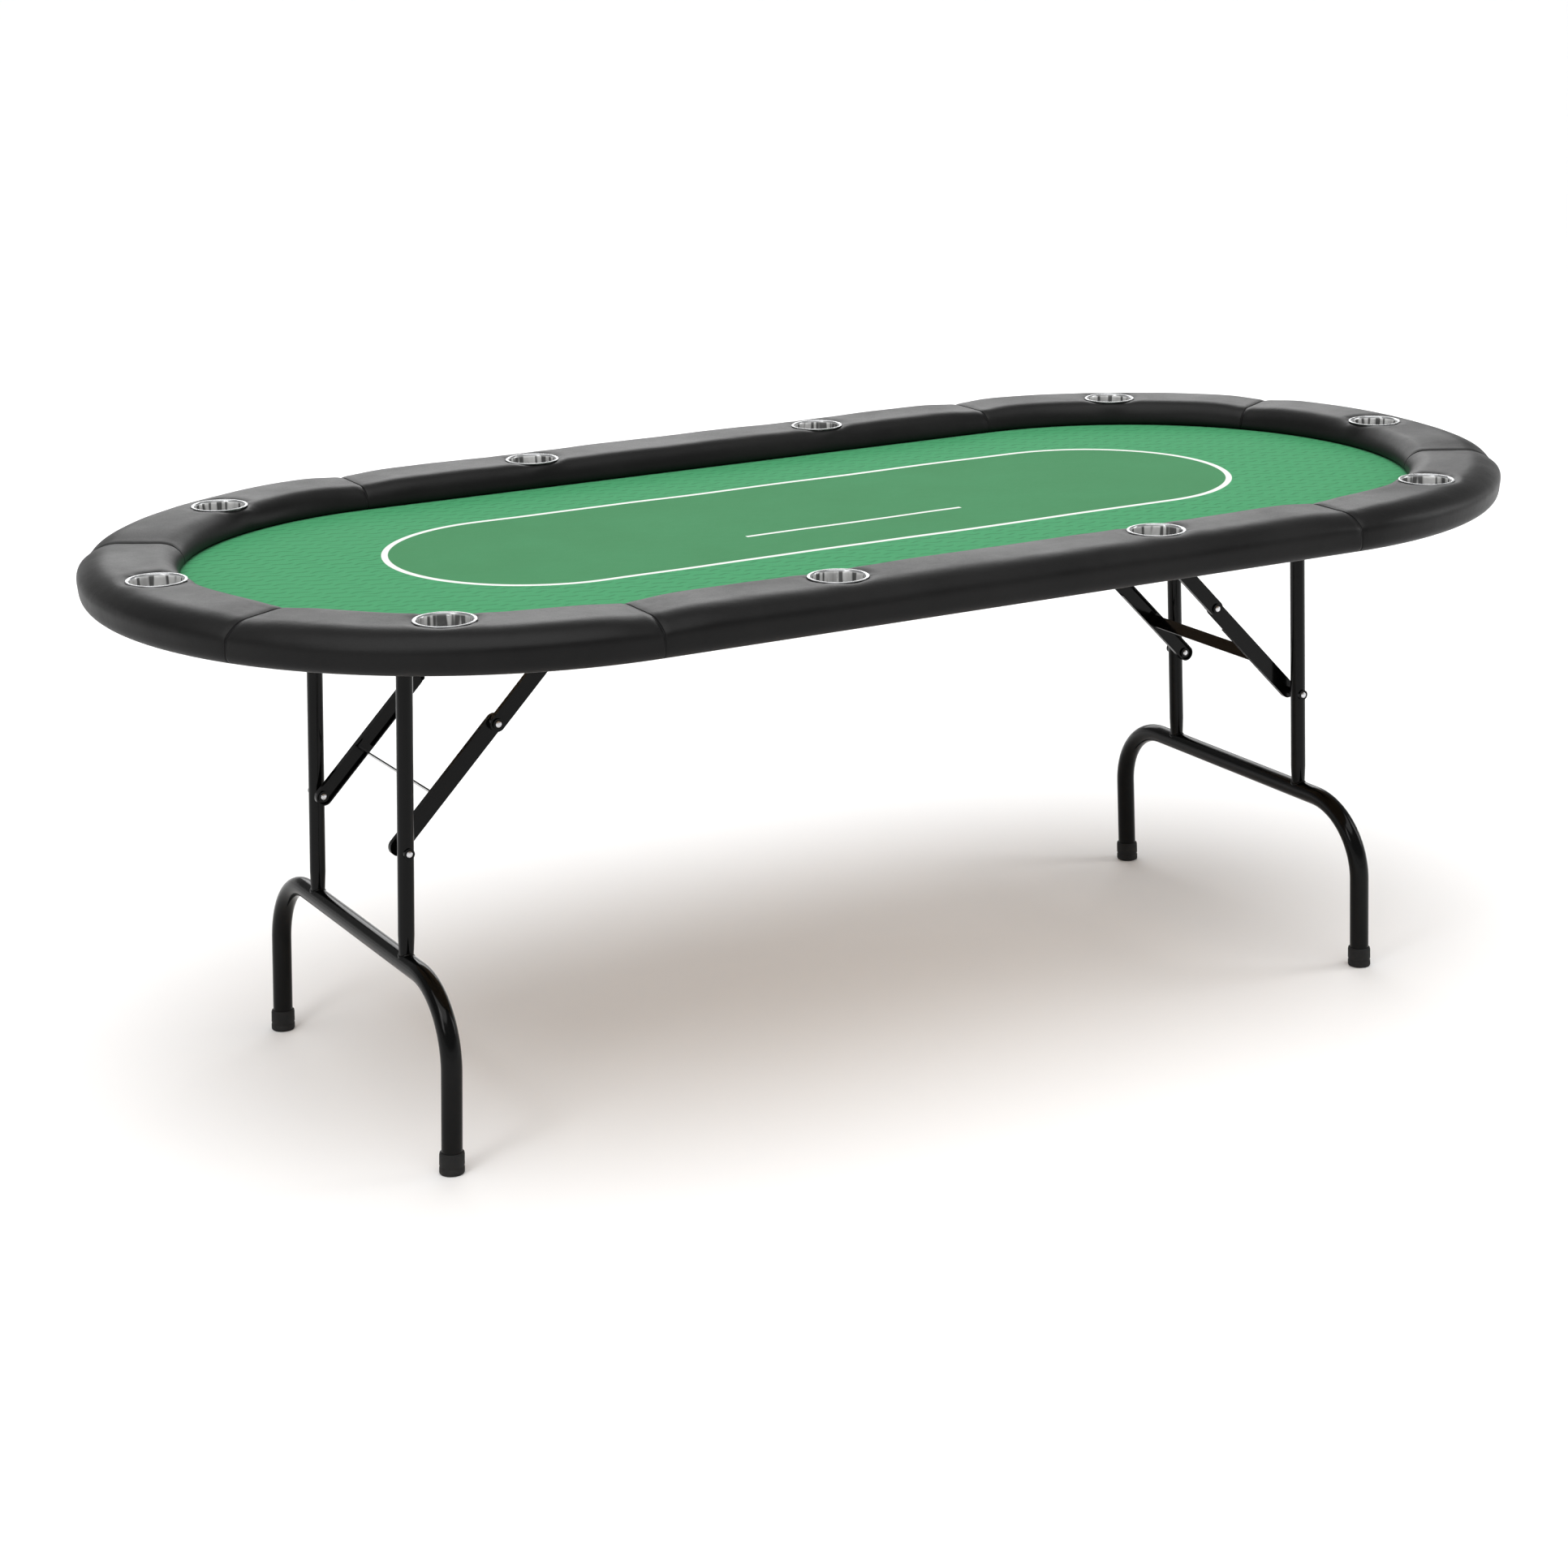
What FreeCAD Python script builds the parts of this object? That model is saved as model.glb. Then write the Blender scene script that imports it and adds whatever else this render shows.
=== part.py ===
"""Oval poker table with a padded rail, drink holders and two folding leg frames.

Frame: +X along the table, +Y across it, +Z up. The origin is on the floor under the middle.
"""
import FreeCAD, Part
import math
import os

Vector = FreeCAD.Vector
X_AXIS = Vector(1, 0, 0)
Y_AXIS = Vector(0, 1, 0)
Z_AXIS = Vector(0, 0, 1)

# Overall size: 84 x 42 x 30 inches
TABLE_LENGTH = 2133.6
TABLE_WIDTH = 1066.8
TABLE_HEIGHT = 762.0

# The plan is a straight middle with a half circle at each end.
# Everything on the top is an offset of the line that joins the two centres.
RAIL_OUTER = TABLE_WIDTH / 2
HALF_STRAIGHT = (TABLE_LENGTH - TABLE_WIDTH) / 2

# Rail section, measured outward from the centre line and up from the floor
RAIL_INNER = 410.0
RAIL_CROWN = 760.0
RAIL_UNDERSIDE = 708.0
INNER_CORNER_RADIUS = 14.0
CROWN_FLAT_END = 490.0
SHOULDER_RADIUS = 60.0
SHOULDER_SWEEP = 40.0
LOWER_CORNER_RADIUS = 13.5
COVER_THICKNESS = 1.2
COVER_HEM = 496.0

# Flat layers of the top
BOARD_OUTER = RAIL_OUTER - LOWER_CORNER_RADIUS
BOARD_BOTTOM = RAIL_UNDERSIDE + COVER_THICKNESS
BOARD_THICKNESS = 12.0
BOARD_TOP = BOARD_BOTTOM + BOARD_THICKNESS
FELT_FOAM_THICKNESS = 4.0
CLOTH_THICKNESS = 1.1
CLOTH_OUTER = RAIL_INNER - 0.4

# Drink holders: pressed cups hung by a flange, evenly spaced along the rail
CUP_LINE = 454.6
CUP_FLANGE_RADIUS = 40.0
CUP_OUTER_RADIUS = 35.2
CUP_WALL = 0.8
CUP_CORNER = 6.0
CUP_BOTTOM = BOARD_BOTTOM + 0.3
CUP_HOLE_RADIUS = 35.6
CUP_RIM_HEIGHT = 1.7
CUP_SIDE_OFFSET = 246.2
END_PANEL_ANGLE = 60.0
END_BLOCK_ANGLE = 9.0

# Battens under the board
BATTEN_THICKNESS = 22.2
BATTEN_INNER_X = 672.0
BATTEN_OUTER_X = 764.0
BATTEN_HALF_LENGTH = 250.0
BATTEN_BOTTOM = BOARD_BOTTOM - BATTEN_THICKNESS

# Leg frame: hangs from the hinge line and leans outward by the splay
HINGE_X = 717.9
HINGE_Z = 673.0
LEG_SPLAY = 2.54
UPRIGHT_RADIUS = 11.0
UPRIGHT_Y = 156.9
UPRIGHT_NECK = 9.4
UPRIGHT_NECK_LENGTH = 24.0
TUBE_WALL = 1.5
PIVOT_TUBE_HALF = 200.0
FOOT_TUBE_RADIUS = 14.0
FOOT_Y = 303.2
FOOT_BEND_RADIUS = 105.0
CROSSBAR_DROP = 430.9
CAP_RADIUS = 16.75
CAP_HEIGHT = 30.0
CAP_FLOOR = 6.0
CAP_EDGE = 1.5

# Saddles that carry the pivot tube
SADDLE_INNER_Y = 170.0
SADDLE_OUTER_Y = 194.0
SADDLE_BORE = UPRIGHT_RADIUS + 0.05
SADDLE_RADIUS = BATTEN_BOTTOM - HINGE_Z
SADDLE_FOOT_HALF = 34.0
SADDLE_FOOT_THICKNESS = 2.5
SADDLE_SCREW_X = 26.0

# Folding brace: two equal arms that meet at a middle rivet
LEG_PIN_DROP = 278.3
BRACKET_X = 439.6
BRACKET_Z = 691.0
LOWER_STRUT_DEPTH = 24.0
UPPER_STRUT_DEPTH = 22.0
STRUT_SHEET = 2.0
LOWER_STRUT_Y = (127.0, 134.5)
UPPER_STRUT_Y = (135.0, 142.5)
NOTCH_START = 165.0
NOTCH_DEPTH = 3.0
RIVET_RADIUS = 4.0
RIVET_HEAD_RADIUS = 7.5
RIVET_HEAD_HEIGHT = 2.5
SPACER_RADIUS = 5.0
PIN_CLEARANCE = 0.05
SIDE_CLEARANCE = 0.3
DOUBLER_RIVET = 99.0
CROSS_PLATE_AT = 83.0
CROSS_PLATE_WIDTH = 19.0
CROSS_PLATE_TAB = 13.0

# Brackets that hold the braces to the board
BRACKET_EAR_Y = (142.8, 144.8)
BRACKET_EAR_HALF = 14.0
BRACKET_EAR_DROP = 11.0
BRACKET_FOOT_Y = 176.0
BRACKET_FOOT_HALF = 22.0
BRACKET_SHEET = 2.0
BRACKET_SCREW_X = 14.0
BRACKET_SCREW_Y = 163.0

SCREW_HEAD_RADIUS = 4.2
SCREW_HEAD_HEIGHT = 2.2
SCREW_SHANK_RADIUS = 2.0
SCREW_LENGTH = 9.0

PARTS = {}


def add(name, shape):
    """Keep a finished sub-part under its node name."""
    PARTS[name] = shape


def arc(centre, radius, start, end):
    """Arc in the XZ plane between two angles in degrees."""
    points = []
    for angle in (start, (start + end) / 2, end):
        turn = math.radians(angle)
        points.append(centre + Vector(radius * math.cos(turn), 0, radius * math.sin(turn)))
    return Part.Arc(*points).toShape()


def section_point(radius, height):
    return Vector(radius, 0, height)


def stadium(radius, bottom, top):
    """Upright prism with straight sides and round ends."""
    right = Vector(HALF_STRAIGHT, 0, bottom)
    left = Vector(-HALF_STRAIGHT, 0, bottom)
    out = Vector(0, radius, 0)
    tip = Vector(radius, 0, 0)
    edges = [
        Part.makeLine(left - out, right - out),
        Part.Arc(right - out, right + tip, right + out).toShape(),
        Part.makeLine(right + out, left + out),
        Part.Arc(left + out, left - tip, left - out).toShape(),
    ]
    return Part.Face(Part.Wire(edges)).extrude(Z_AXIS * (top - bottom))


def tube_along_y(radius, x, z, y_low, y_high):
    return Part.makeCylinder(radius, y_high - y_low, Vector(x, y_low, z), Y_AXIS)


def mirrored_pair(shape):
    """One compound of a shape and its copy on the other side of the XZ plane."""
    return Part.makeCompound([shape, shape.mirror(Vector(), Y_AXIS)])


# ---- The rail ----

def rail_profile(inset):
    """Edges of the rail's skin from the inner wall round to the hem, moved inward by the inset."""
    inner_centre = section_point(RAIL_INNER + INNER_CORNER_RADIUS, RAIL_CROWN - INNER_CORNER_RADIUS)
    shoulder_centre = section_point(CROWN_FLAT_END, RAIL_CROWN - SHOULDER_RADIUS)
    nose_angle = 90.0 - SHOULDER_SWEEP
    lift = Vector(math.cos(math.radians(nose_angle)), 0, math.sin(math.radians(nose_angle)))
    shoulder_end = shoulder_centre + lift * SHOULDER_RADIUS
    nose_radius = (RAIL_OUTER - shoulder_end.x) / (1 - lift.x)
    nose_centre = shoulder_end - lift * nose_radius
    lower_centre = section_point(RAIL_OUTER - LOWER_CORNER_RADIUS, RAIL_UNDERSIDE + LOWER_CORNER_RADIUS)

    start = section_point(RAIL_INNER + inset, BOARD_TOP)
    hem = section_point(COVER_HEM, RAIL_UNDERSIDE + inset)
    arcs = [
        arc(inner_centre, INNER_CORNER_RADIUS - inset, 180.0, 90.0),
        arc(shoulder_centre, SHOULDER_RADIUS - inset, 90.0, nose_angle),
        arc(nose_centre, nose_radius - inset, nose_angle, 0.0),
        arc(lower_centre, LOWER_CORNER_RADIUS - inset, 0.0, -90.0),
    ]
    edges = []
    here = start
    for curve in arcs:
        begin = curve.valueAt(curve.FirstParameter)
        if (begin - here).Length > 1e-6:
            edges.append(Part.makeLine(here, begin))
        edges.append(curve)
        here = curve.valueAt(curve.LastParameter)
    return edges, here, start, hem


def cover_section():
    """Sheet of vinyl from the board top over the crown to the hem under the board."""
    outer, outer_end, outer_start, outer_hem = rail_profile(0.0)
    inner, inner_end, inner_start, inner_hem = rail_profile(COVER_THICKNESS)
    edges = outer + [Part.makeLine(outer_end, outer_hem), Part.makeLine(outer_hem, inner_hem)]
    edges += [Part.makeLine(inner_hem, inner_end)] + inner + [Part.makeLine(inner_start, outer_start)]
    return Part.Face(Part.Wire(Part.__sortEdges__(edges)))


def foam_section():
    """Padding between the cover and the board, wrapped round the board's edge."""
    edges, end, start, hem = rail_profile(COVER_THICKNESS)
    board_corner = section_point(BOARD_OUTER, BOARD_TOP)
    edges += [Part.makeLine(end, board_corner), Part.makeLine(board_corner, start)]
    return Part.Face(Part.Wire(Part.__sortEdges__(edges)))


def rail_run(section, end, start, stop):
    """The section carried along one side (start and stop along X) or round one end (in degrees)."""
    face = section.copy()
    if end in ("front", "back"):
        face.rotate(Vector(), Z_AXIS, 90.0 if end == "back" else -90.0)
        face.translate(X_AXIS * start)
        return face.extrude(X_AXIS * (stop - start))
    middle = X_AXIS * (HALF_STRAIGHT if end == "right" else -HALF_STRAIGHT)
    face.rotate(Vector(), Z_AXIS, start)
    face.translate(middle)
    return face.revolve(middle, Z_AXIS, stop - start)


def panel_spans():
    """The eight sewn panels: name, side or end, and where each starts and stops."""
    spans = [("back", "back", -HALF_STRAIGHT, HALF_STRAIGHT), ("front", "front", -HALF_STRAIGHT, HALF_STRAIGHT)]
    for end, first in (("right", -90.0), ("left", 90.0)):
        for index in range(3):
            start = first + index * END_PANEL_ANGLE
            spans.append(("%s_%d" % (end, index + 1), end, start, start + END_PANEL_ANGLE))
    return spans


def block_spans():
    """Shorter lengths that meet at the drink holders and at the panel seams.

    The holder at each end also has a short length on either side.
    """
    spans = []
    for end in ("back", "front"):
        stops = [-HALF_STRAIGHT, -CUP_SIDE_OFFSET, CUP_SIDE_OFFSET, HALF_STRAIGHT]
        spans += [(end, start, stop) for start, stop in zip(stops, stops[1:])]
    half = END_PANEL_ANGLE / 2
    turns = [-3 * half, -2 * half, -half, -END_BLOCK_ANGLE, 0.0, END_BLOCK_ANGLE, half, 2 * half, 3 * half]
    for end, middle in (("right", 0.0), ("left", 180.0)):
        spans += [(end, middle + start, middle + stop) for start, stop in zip(turns, turns[1:])]
    return spans


def base_section():
    """Board under the rail, beside the middle board."""
    corners = [
        section_point(RAIL_INNER, BOARD_BOTTOM),
        section_point(BOARD_OUTER, BOARD_BOTTOM),
        section_point(BOARD_OUTER, BOARD_TOP),
        section_point(RAIL_INNER, BOARD_TOP),
    ]
    return Part.Face(Part.makePolygon(corners + corners[:1]))


def cup_centres():
    """Plan positions of the ten drink holders, anticlockwise from the front left."""
    centres = [Vector(-CUP_SIDE_OFFSET, -CUP_LINE, 0), Vector(CUP_SIDE_OFFSET, -CUP_LINE, 0)]
    for index in range(3):
        turn = math.radians(-60.0 + index * END_PANEL_ANGLE)
        centres.append(Vector(HALF_STRAIGHT + CUP_LINE * math.cos(turn), CUP_LINE * math.sin(turn), 0))
    opposite = [Vector(-centre.x, -centre.y, 0) for centre in centres]
    return centres + opposite


def cup_hole_cutter(radius):
    """Cylinders through the whole top at every drink holder."""
    height = TABLE_HEIGHT - RAIL_UNDERSIDE + 20
    drills = []
    for centre in cup_centres():
        foot = centre + Z_AXIS * (RAIL_UNDERSIDE - 10)
        drills.append(Part.makeCylinder(radius, height, foot))
    return Part.makeCompound(drills)


def cup_holder(centre):
    """Thin pressed cup: flange with a rolled lip, straight wall, rounded floor."""
    inner = CUP_OUTER_RADIUS - CUP_WALL
    rim_top = TABLE_HEIGHT
    rim_bottom = rim_top - CUP_RIM_HEIGHT
    floor = CUP_BOTTOM
    outline = [
        section_point(0, floor),
        section_point(CUP_OUTER_RADIUS - CUP_CORNER, floor),
    ]
    outer_corner = section_point(CUP_OUTER_RADIUS - CUP_CORNER, floor + CUP_CORNER)
    inner_corner_radius = CUP_CORNER - CUP_WALL
    edges = [
        Part.makeLine(outline[0], outline[1]),
        arc(outer_corner, CUP_CORNER, -90.0, 0.0),
        Part.makeLine(section_point(CUP_OUTER_RADIUS, floor + CUP_CORNER),
                      section_point(CUP_OUTER_RADIUS, rim_bottom)),
        Part.makeLine(section_point(CUP_OUTER_RADIUS, rim_bottom),
                      section_point(CUP_FLANGE_RADIUS - CUP_RIM_HEIGHT / 2, rim_bottom)),
        arc(section_point(CUP_FLANGE_RADIUS - CUP_RIM_HEIGHT / 2, rim_top - CUP_RIM_HEIGHT / 2),
            CUP_RIM_HEIGHT / 2, -90.0, 90.0),
        Part.makeLine(section_point(CUP_FLANGE_RADIUS - CUP_RIM_HEIGHT / 2, rim_top),
                      section_point(inner + CUP_RIM_HEIGHT, rim_top)),
        arc(section_point(inner + CUP_RIM_HEIGHT, rim_bottom), CUP_RIM_HEIGHT, 90.0, 180.0),
        Part.makeLine(section_point(inner, rim_bottom), section_point(inner, floor + CUP_CORNER)),
        arc(outer_corner, inner_corner_radius, 0.0, -90.0),
        Part.makeLine(section_point(CUP_OUTER_RADIUS - CUP_CORNER, floor + CUP_WALL),
                      section_point(0, floor + CUP_WALL)),
        Part.makeLine(section_point(0, floor + CUP_WALL), outline[0]),
    ]
    profile = Part.Face(Part.Wire(Part.__sortEdges__(edges)))
    cup = profile.revolve(Vector(), Z_AXIS, 360.0)
    cup.translate(centre)
    return cup


def bracket_pilot_holes():
    """Holes in the board for the screws of the four brace brackets."""
    right = mirrored_pair(screw_holes(bracket_screw_places()))
    return Part.makeCompound([right, right.mirror(Vector(), X_AXIS)])


def build_top():
    holes = cup_hole_cutter(CUP_HOLE_RADIUS)
    cloth_bottom = BOARD_TOP + FELT_FOAM_THICKNESS
    board = stadium(RAIL_INNER, BOARD_BOTTOM, BOARD_TOP)
    add("base_board", board.cut(bracket_pilot_holes()))
    add("playing_foam", stadium(CLOTH_OUTER, BOARD_TOP, cloth_bottom))
    add("playing_cloth", stadium(CLOTH_OUTER, cloth_bottom, cloth_bottom + CLOTH_THICKNESS))
    for name, section in (("rail_base", base_section()), ("rail_foam", foam_section())):
        blocks = [rail_run(section, *span).cut(holes).Solids[0] for span in block_spans()]
        add(name, Part.makeCompound(blocks))
    for name, *span in panel_spans():
        add("rail_cover_" + name, rail_run(cover_section(), *span).cut(holes).Solids[0])
    for index, centre in enumerate(cup_centres()):
        add("cup_holder_%02d" % (index + 1), cup_holder(centre))


# ---- The leg frame ----

def leaned(shape):
    """Turn a shape built on a vertical leg to the leg's outward lean."""
    shape.rotate(Vector(HINGE_X, 0, HINGE_Z), Y_AXIS, -LEG_SPLAY)
    return shape


def foot_pipe(radius):
    """Round bar along the foot tube's path: up one leg, across, down the other."""
    height = HINGE_Z - CROSSBAR_DROP
    low = CAP_FLOOR
    turn = FOOT_BEND_RADIUS
    inset = turn * (1 - math.cos(math.radians(45)))

    def at(y, z):
        return Vector(HINGE_X, y, z)

    path = [
        Part.makeLine(at(-FOOT_Y, low), at(-FOOT_Y, height - turn)),
        Part.Arc(at(-FOOT_Y, height - turn), at(-FOOT_Y + inset, height - inset),
                 at(-FOOT_Y + turn, height)).toShape(),
        Part.makeLine(at(-FOOT_Y + turn, height), at(FOOT_Y - turn, height)),
        Part.Arc(at(FOOT_Y - turn, height), at(FOOT_Y - inset, height - inset),
                 at(FOOT_Y, height - turn)).toShape(),
        Part.makeLine(at(FOOT_Y, height - turn), at(FOOT_Y, low)),
    ]
    ring = Part.Wire(Part.makeCircle(radius, at(-FOOT_Y, low), Z_AXIS))
    return Part.Wire(path).makePipeShell([ring], True, True)


def leg_pin_z():
    return HINGE_Z - LEG_PIN_DROP


def upright():
    """Tube from the pivot tube down to a narrowed end on the crossbar."""
    crossbar_z = HINGE_Z - CROSSBAR_DROP
    neck_top = crossbar_z + FOOT_TUBE_RADIUS + UPRIGHT_NECK_LENGTH
    outer = Part.makeCylinder(UPRIGHT_RADIUS, HINGE_Z - neck_top, Vector(HINGE_X, UPRIGHT_Y, neck_top))
    neck = Part.makeCone(UPRIGHT_NECK, UPRIGHT_RADIUS, neck_top - crossbar_z,
                         Vector(HINGE_X, UPRIGHT_Y, crossbar_z))
    bore_radius = UPRIGHT_NECK - TUBE_WALL
    bore = Part.makeCylinder(bore_radius, HINGE_Z - crossbar_z, Vector(HINGE_X, UPRIGHT_Y, crossbar_z))
    wide_bore = Part.makeCylinder(UPRIGHT_RADIUS - TUBE_WALL, HINGE_Z - neck_top,
                                  Vector(HINGE_X, UPRIGHT_Y, neck_top))
    tube = outer.fuse(neck).cut(bore.fuse(wide_bore))
    tube = tube.cut(tube_along_y(UPRIGHT_RADIUS, HINGE_X, HINGE_Z, 0, 2 * UPRIGHT_Y))
    tube = tube.cut(tube_along_y(FOOT_TUBE_RADIUS, HINGE_X, crossbar_z, 0, 2 * UPRIGHT_Y))
    tube = tube.cut(tube_along_y(RIVET_RADIUS, HINGE_X, leg_pin_z(), 0, 2 * UPRIGHT_Y))
    return tube.removeSplitter().Solids[0]


def leg_rivet():
    """Rivet through the upright and the brace, with a spacer between them."""
    x = HINGE_X
    z = leg_pin_z()
    strut_face = LOWER_STRUT_Y[1]
    web_inside = strut_face - STRUT_SHEET
    outside = UPRIGHT_Y + UPRIGHT_RADIUS
    inner_head = tube_along_y(RIVET_HEAD_RADIUS, x, z, web_inside - SIDE_CLEARANCE - RIVET_HEAD_HEIGHT,
                              web_inside - SIDE_CLEARANCE)
    shank = tube_along_y(RIVET_RADIUS, x, z, web_inside - SIDE_CLEARANCE, outside)
    spacer = tube_along_y(SPACER_RADIUS, x, z, strut_face + SIDE_CLEARANCE, UPRIGHT_Y)
    collar_room = Part.makeCylinder(UPRIGHT_RADIUS, HINGE_Z, Vector(x, UPRIGHT_Y, 0))
    outer_head = tube_along_y(RIVET_HEAD_RADIUS, x, z, outside - 2.0, outside + RIVET_HEAD_HEIGHT)
    heads = outer_head.fuse(spacer).cut(collar_room)
    return heads.fuse([shank, inner_head]).removeSplitter()


def foot_cap():
    """Rubber cap pressed on the foot, cut level with the floor."""
    body = Part.makeCylinder(CAP_RADIUS, CAP_HEIGHT + CAP_FLOOR, Vector(HINGE_X, FOOT_Y, -CAP_FLOOR))
    rim = [edge for edge in body.Edges if abs(edge.BoundBox.ZMin - CAP_HEIGHT) < 1e-3]
    body = body.makeFillet(CAP_EDGE, [edge for edge in rim if edge.BoundBox.ZLength < 1e-3])
    socket = Part.makeCylinder(FOOT_TUBE_RADIUS, CAP_HEIGHT, Vector(HINGE_X, FOOT_Y, CAP_FLOOR))
    cap = leaned(body.cut(socket))
    reach = 4 * CAP_RADIUS
    centre_x = HINGE_X + HINGE_Z * math.tan(math.radians(LEG_SPLAY))
    floor = Part.makeBox(2 * reach, 2 * reach, reach, Vector(centre_x - reach, FOOT_Y - reach, -reach))
    return cap.cut(floor)


def build_leg_frame():
    shapes = {}
    pivot = tube_along_y(UPRIGHT_RADIUS, HINGE_X, HINGE_Z, -PIVOT_TUBE_HALF, PIVOT_TUBE_HALF)
    shapes["pivot_tube"] = pivot.cut(tube_along_y(UPRIGHT_RADIUS - TUBE_WALL, HINGE_X, HINGE_Z,
                                                  -PIVOT_TUBE_HALF, PIVOT_TUBE_HALF))
    back = leaned(upright())
    shapes["upright_back"] = back
    shapes["upright_front"] = back.mirror(Vector(), Y_AXIS)
    shapes["foot_tube"] = leaned(foot_pipe(FOOT_TUBE_RADIUS).cut(foot_pipe(FOOT_TUBE_RADIUS - TUBE_WALL)))
    cap = foot_cap()
    shapes["foot_cap_back"] = cap
    shapes["foot_cap_front"] = cap.mirror(Vector(), Y_AXIS)
    shapes["leg_rivets"] = mirrored_pair(leaned(leg_rivet()))
    return shapes


# ---- The hinge and brace hardware on the board ----

def screw(x, y, face_z):
    """Dome-head screw driven up through a foot whose lower face is at face_z."""
    head = Part.makeCylinder(SCREW_HEAD_RADIUS, SCREW_HEAD_HEIGHT, Vector(x, y, face_z - SCREW_HEAD_HEIGHT))
    low = [edge for edge in head.Edges if edge.BoundBox.ZMax < face_z - SCREW_HEAD_HEIGHT + 1e-3]
    head = head.makeFillet(SCREW_HEAD_HEIGHT * 0.6, low)
    return head.fuse(Part.makeCylinder(SCREW_SHANK_RADIUS, SCREW_LENGTH, Vector(x, y, face_z)))


def saddle_screw_places():
    y = (SADDLE_INNER_Y + SADDLE_OUTER_Y) / 2
    return [(HINGE_X + side * SADDLE_SCREW_X, y, BATTEN_BOTTOM - SADDLE_FOOT_THICKNESS) for side in (-1, 1)]


def bracket_screw_places():
    z = BOARD_BOTTOM - BRACKET_SHEET
    return [(BRACKET_X + side * BRACKET_SCREW_X, BRACKET_SCREW_Y, z) for side in (-1, 1)]


def screw_holes(places):
    return Part.makeCompound([
        Part.makeCylinder(SCREW_SHANK_RADIUS, SCREW_LENGTH, Vector(x, y, z)) for x, y, z in places])


def saddle():
    """Ring for the pivot tube on a screwed foot."""
    width = SADDLE_OUTER_Y - SADDLE_INNER_Y
    ring = tube_along_y(SADDLE_RADIUS, HINGE_X, HINGE_Z, SADDLE_INNER_Y, SADDLE_OUTER_Y)
    foot = Part.makeBox(2 * SADDLE_FOOT_HALF, width, SADDLE_FOOT_THICKNESS,
                        Vector(HINGE_X - SADDLE_FOOT_HALF, SADDLE_INNER_Y, BATTEN_BOTTOM - SADDLE_FOOT_THICKNESS))
    bore = tube_along_y(SADDLE_BORE, HINGE_X, HINGE_Z, SADDLE_INNER_Y, SADDLE_OUTER_Y)
    return ring.fuse(foot).removeSplitter().cut(bore).cut(screw_holes(saddle_screw_places()))


def brace_bracket():
    """Angle bracket: a foot screwed to the board and an ear for the brace's top rivet."""
    ear_low = BRACKET_Z - BRACKET_EAR_DROP
    thickness = BRACKET_EAR_Y[1] - BRACKET_EAR_Y[0]
    ear = Part.makeBox(2 * BRACKET_EAR_HALF, thickness, BOARD_BOTTOM - BRACKET_Z,
                       Vector(BRACKET_X - BRACKET_EAR_HALF, BRACKET_EAR_Y[0], BRACKET_Z))
    lobe = tube_along_y(BRACKET_EAR_HALF, BRACKET_X, BRACKET_Z, *BRACKET_EAR_Y)
    trim = Part.makeBox(4 * BRACKET_EAR_HALF, 2 * thickness, BRACKET_EAR_HALF,
                        Vector(BRACKET_X - 2 * BRACKET_EAR_HALF, BRACKET_EAR_Y[0] - thickness / 2,
                               ear_low - BRACKET_EAR_HALF))
    foot = Part.makeBox(2 * BRACKET_FOOT_HALF, BRACKET_FOOT_Y - BRACKET_EAR_Y[0], BRACKET_SHEET,
                        Vector(BRACKET_X - BRACKET_FOOT_HALF, BRACKET_EAR_Y[0], BOARD_BOTTOM - BRACKET_SHEET))
    plate = ear.fuse([lobe, foot]).cut(trim)
    pin = tube_along_y(RIVET_RADIUS, BRACKET_X, BRACKET_Z, *BRACKET_EAR_Y)
    return plate.removeSplitter().cut(pin).cut(screw_holes(bracket_screw_places()))


def bracket_rivet():
    """Rivet fixed in the bracket's ear that carries the upper strut."""
    web_inside = UPPER_STRUT_Y[1] - STRUT_SHEET
    head_end = web_inside - SIDE_CLEARANCE
    inner_head = tube_along_y(RIVET_HEAD_RADIUS, BRACKET_X, BRACKET_Z, head_end - RIVET_HEAD_HEIGHT, head_end)
    shank = tube_along_y(RIVET_RADIUS, BRACKET_X, BRACKET_Z, head_end, BRACKET_EAR_Y[1])
    outer_head = tube_along_y(RIVET_HEAD_RADIUS, BRACKET_X, BRACKET_Z, BRACKET_EAR_Y[1],
                              BRACKET_EAR_Y[1] + RIVET_HEAD_HEIGHT)
    return shank.fuse([inner_head, outer_head]).removeSplitter()


def build_hardware():
    shapes = {}
    screws = [screw(*place) for place in saddle_screw_places() + bracket_screw_places()]
    batten = Part.makeBox(BATTEN_OUTER_X - BATTEN_INNER_X, 2 * BATTEN_HALF_LENGTH, BATTEN_THICKNESS,
                          Vector(BATTEN_INNER_X, -BATTEN_HALF_LENGTH, BATTEN_BOTTOM))
    saddle_holes = mirrored_pair(screw_holes(saddle_screw_places()))
    shapes["batten"] = batten.cut(saddle_holes)
    shapes["hinge_saddles"] = mirrored_pair(saddle())
    shapes["brace_brackets"] = mirrored_pair(brace_bracket())
    both = screws + [piece.mirror(Vector(), Y_AXIS) for piece in screws]
    rivet = bracket_rivet()
    shapes["hardware"] = Part.makeCompound(both + [rivet, rivet.mirror(Vector(), Y_AXIS)])
    return shapes


# ---- The folding braces ----

def leg_pin():
    lean = math.radians(LEG_SPLAY)
    return Vector(HINGE_X + LEG_PIN_DROP * math.sin(lean), 0, HINGE_Z - LEG_PIN_DROP * math.cos(lean))


def middle_pin():
    """The two equal arms lie in one line when the legs are down."""
    return (leg_pin() + Vector(BRACKET_X, 0, BRACKET_Z)) * 0.5


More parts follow.
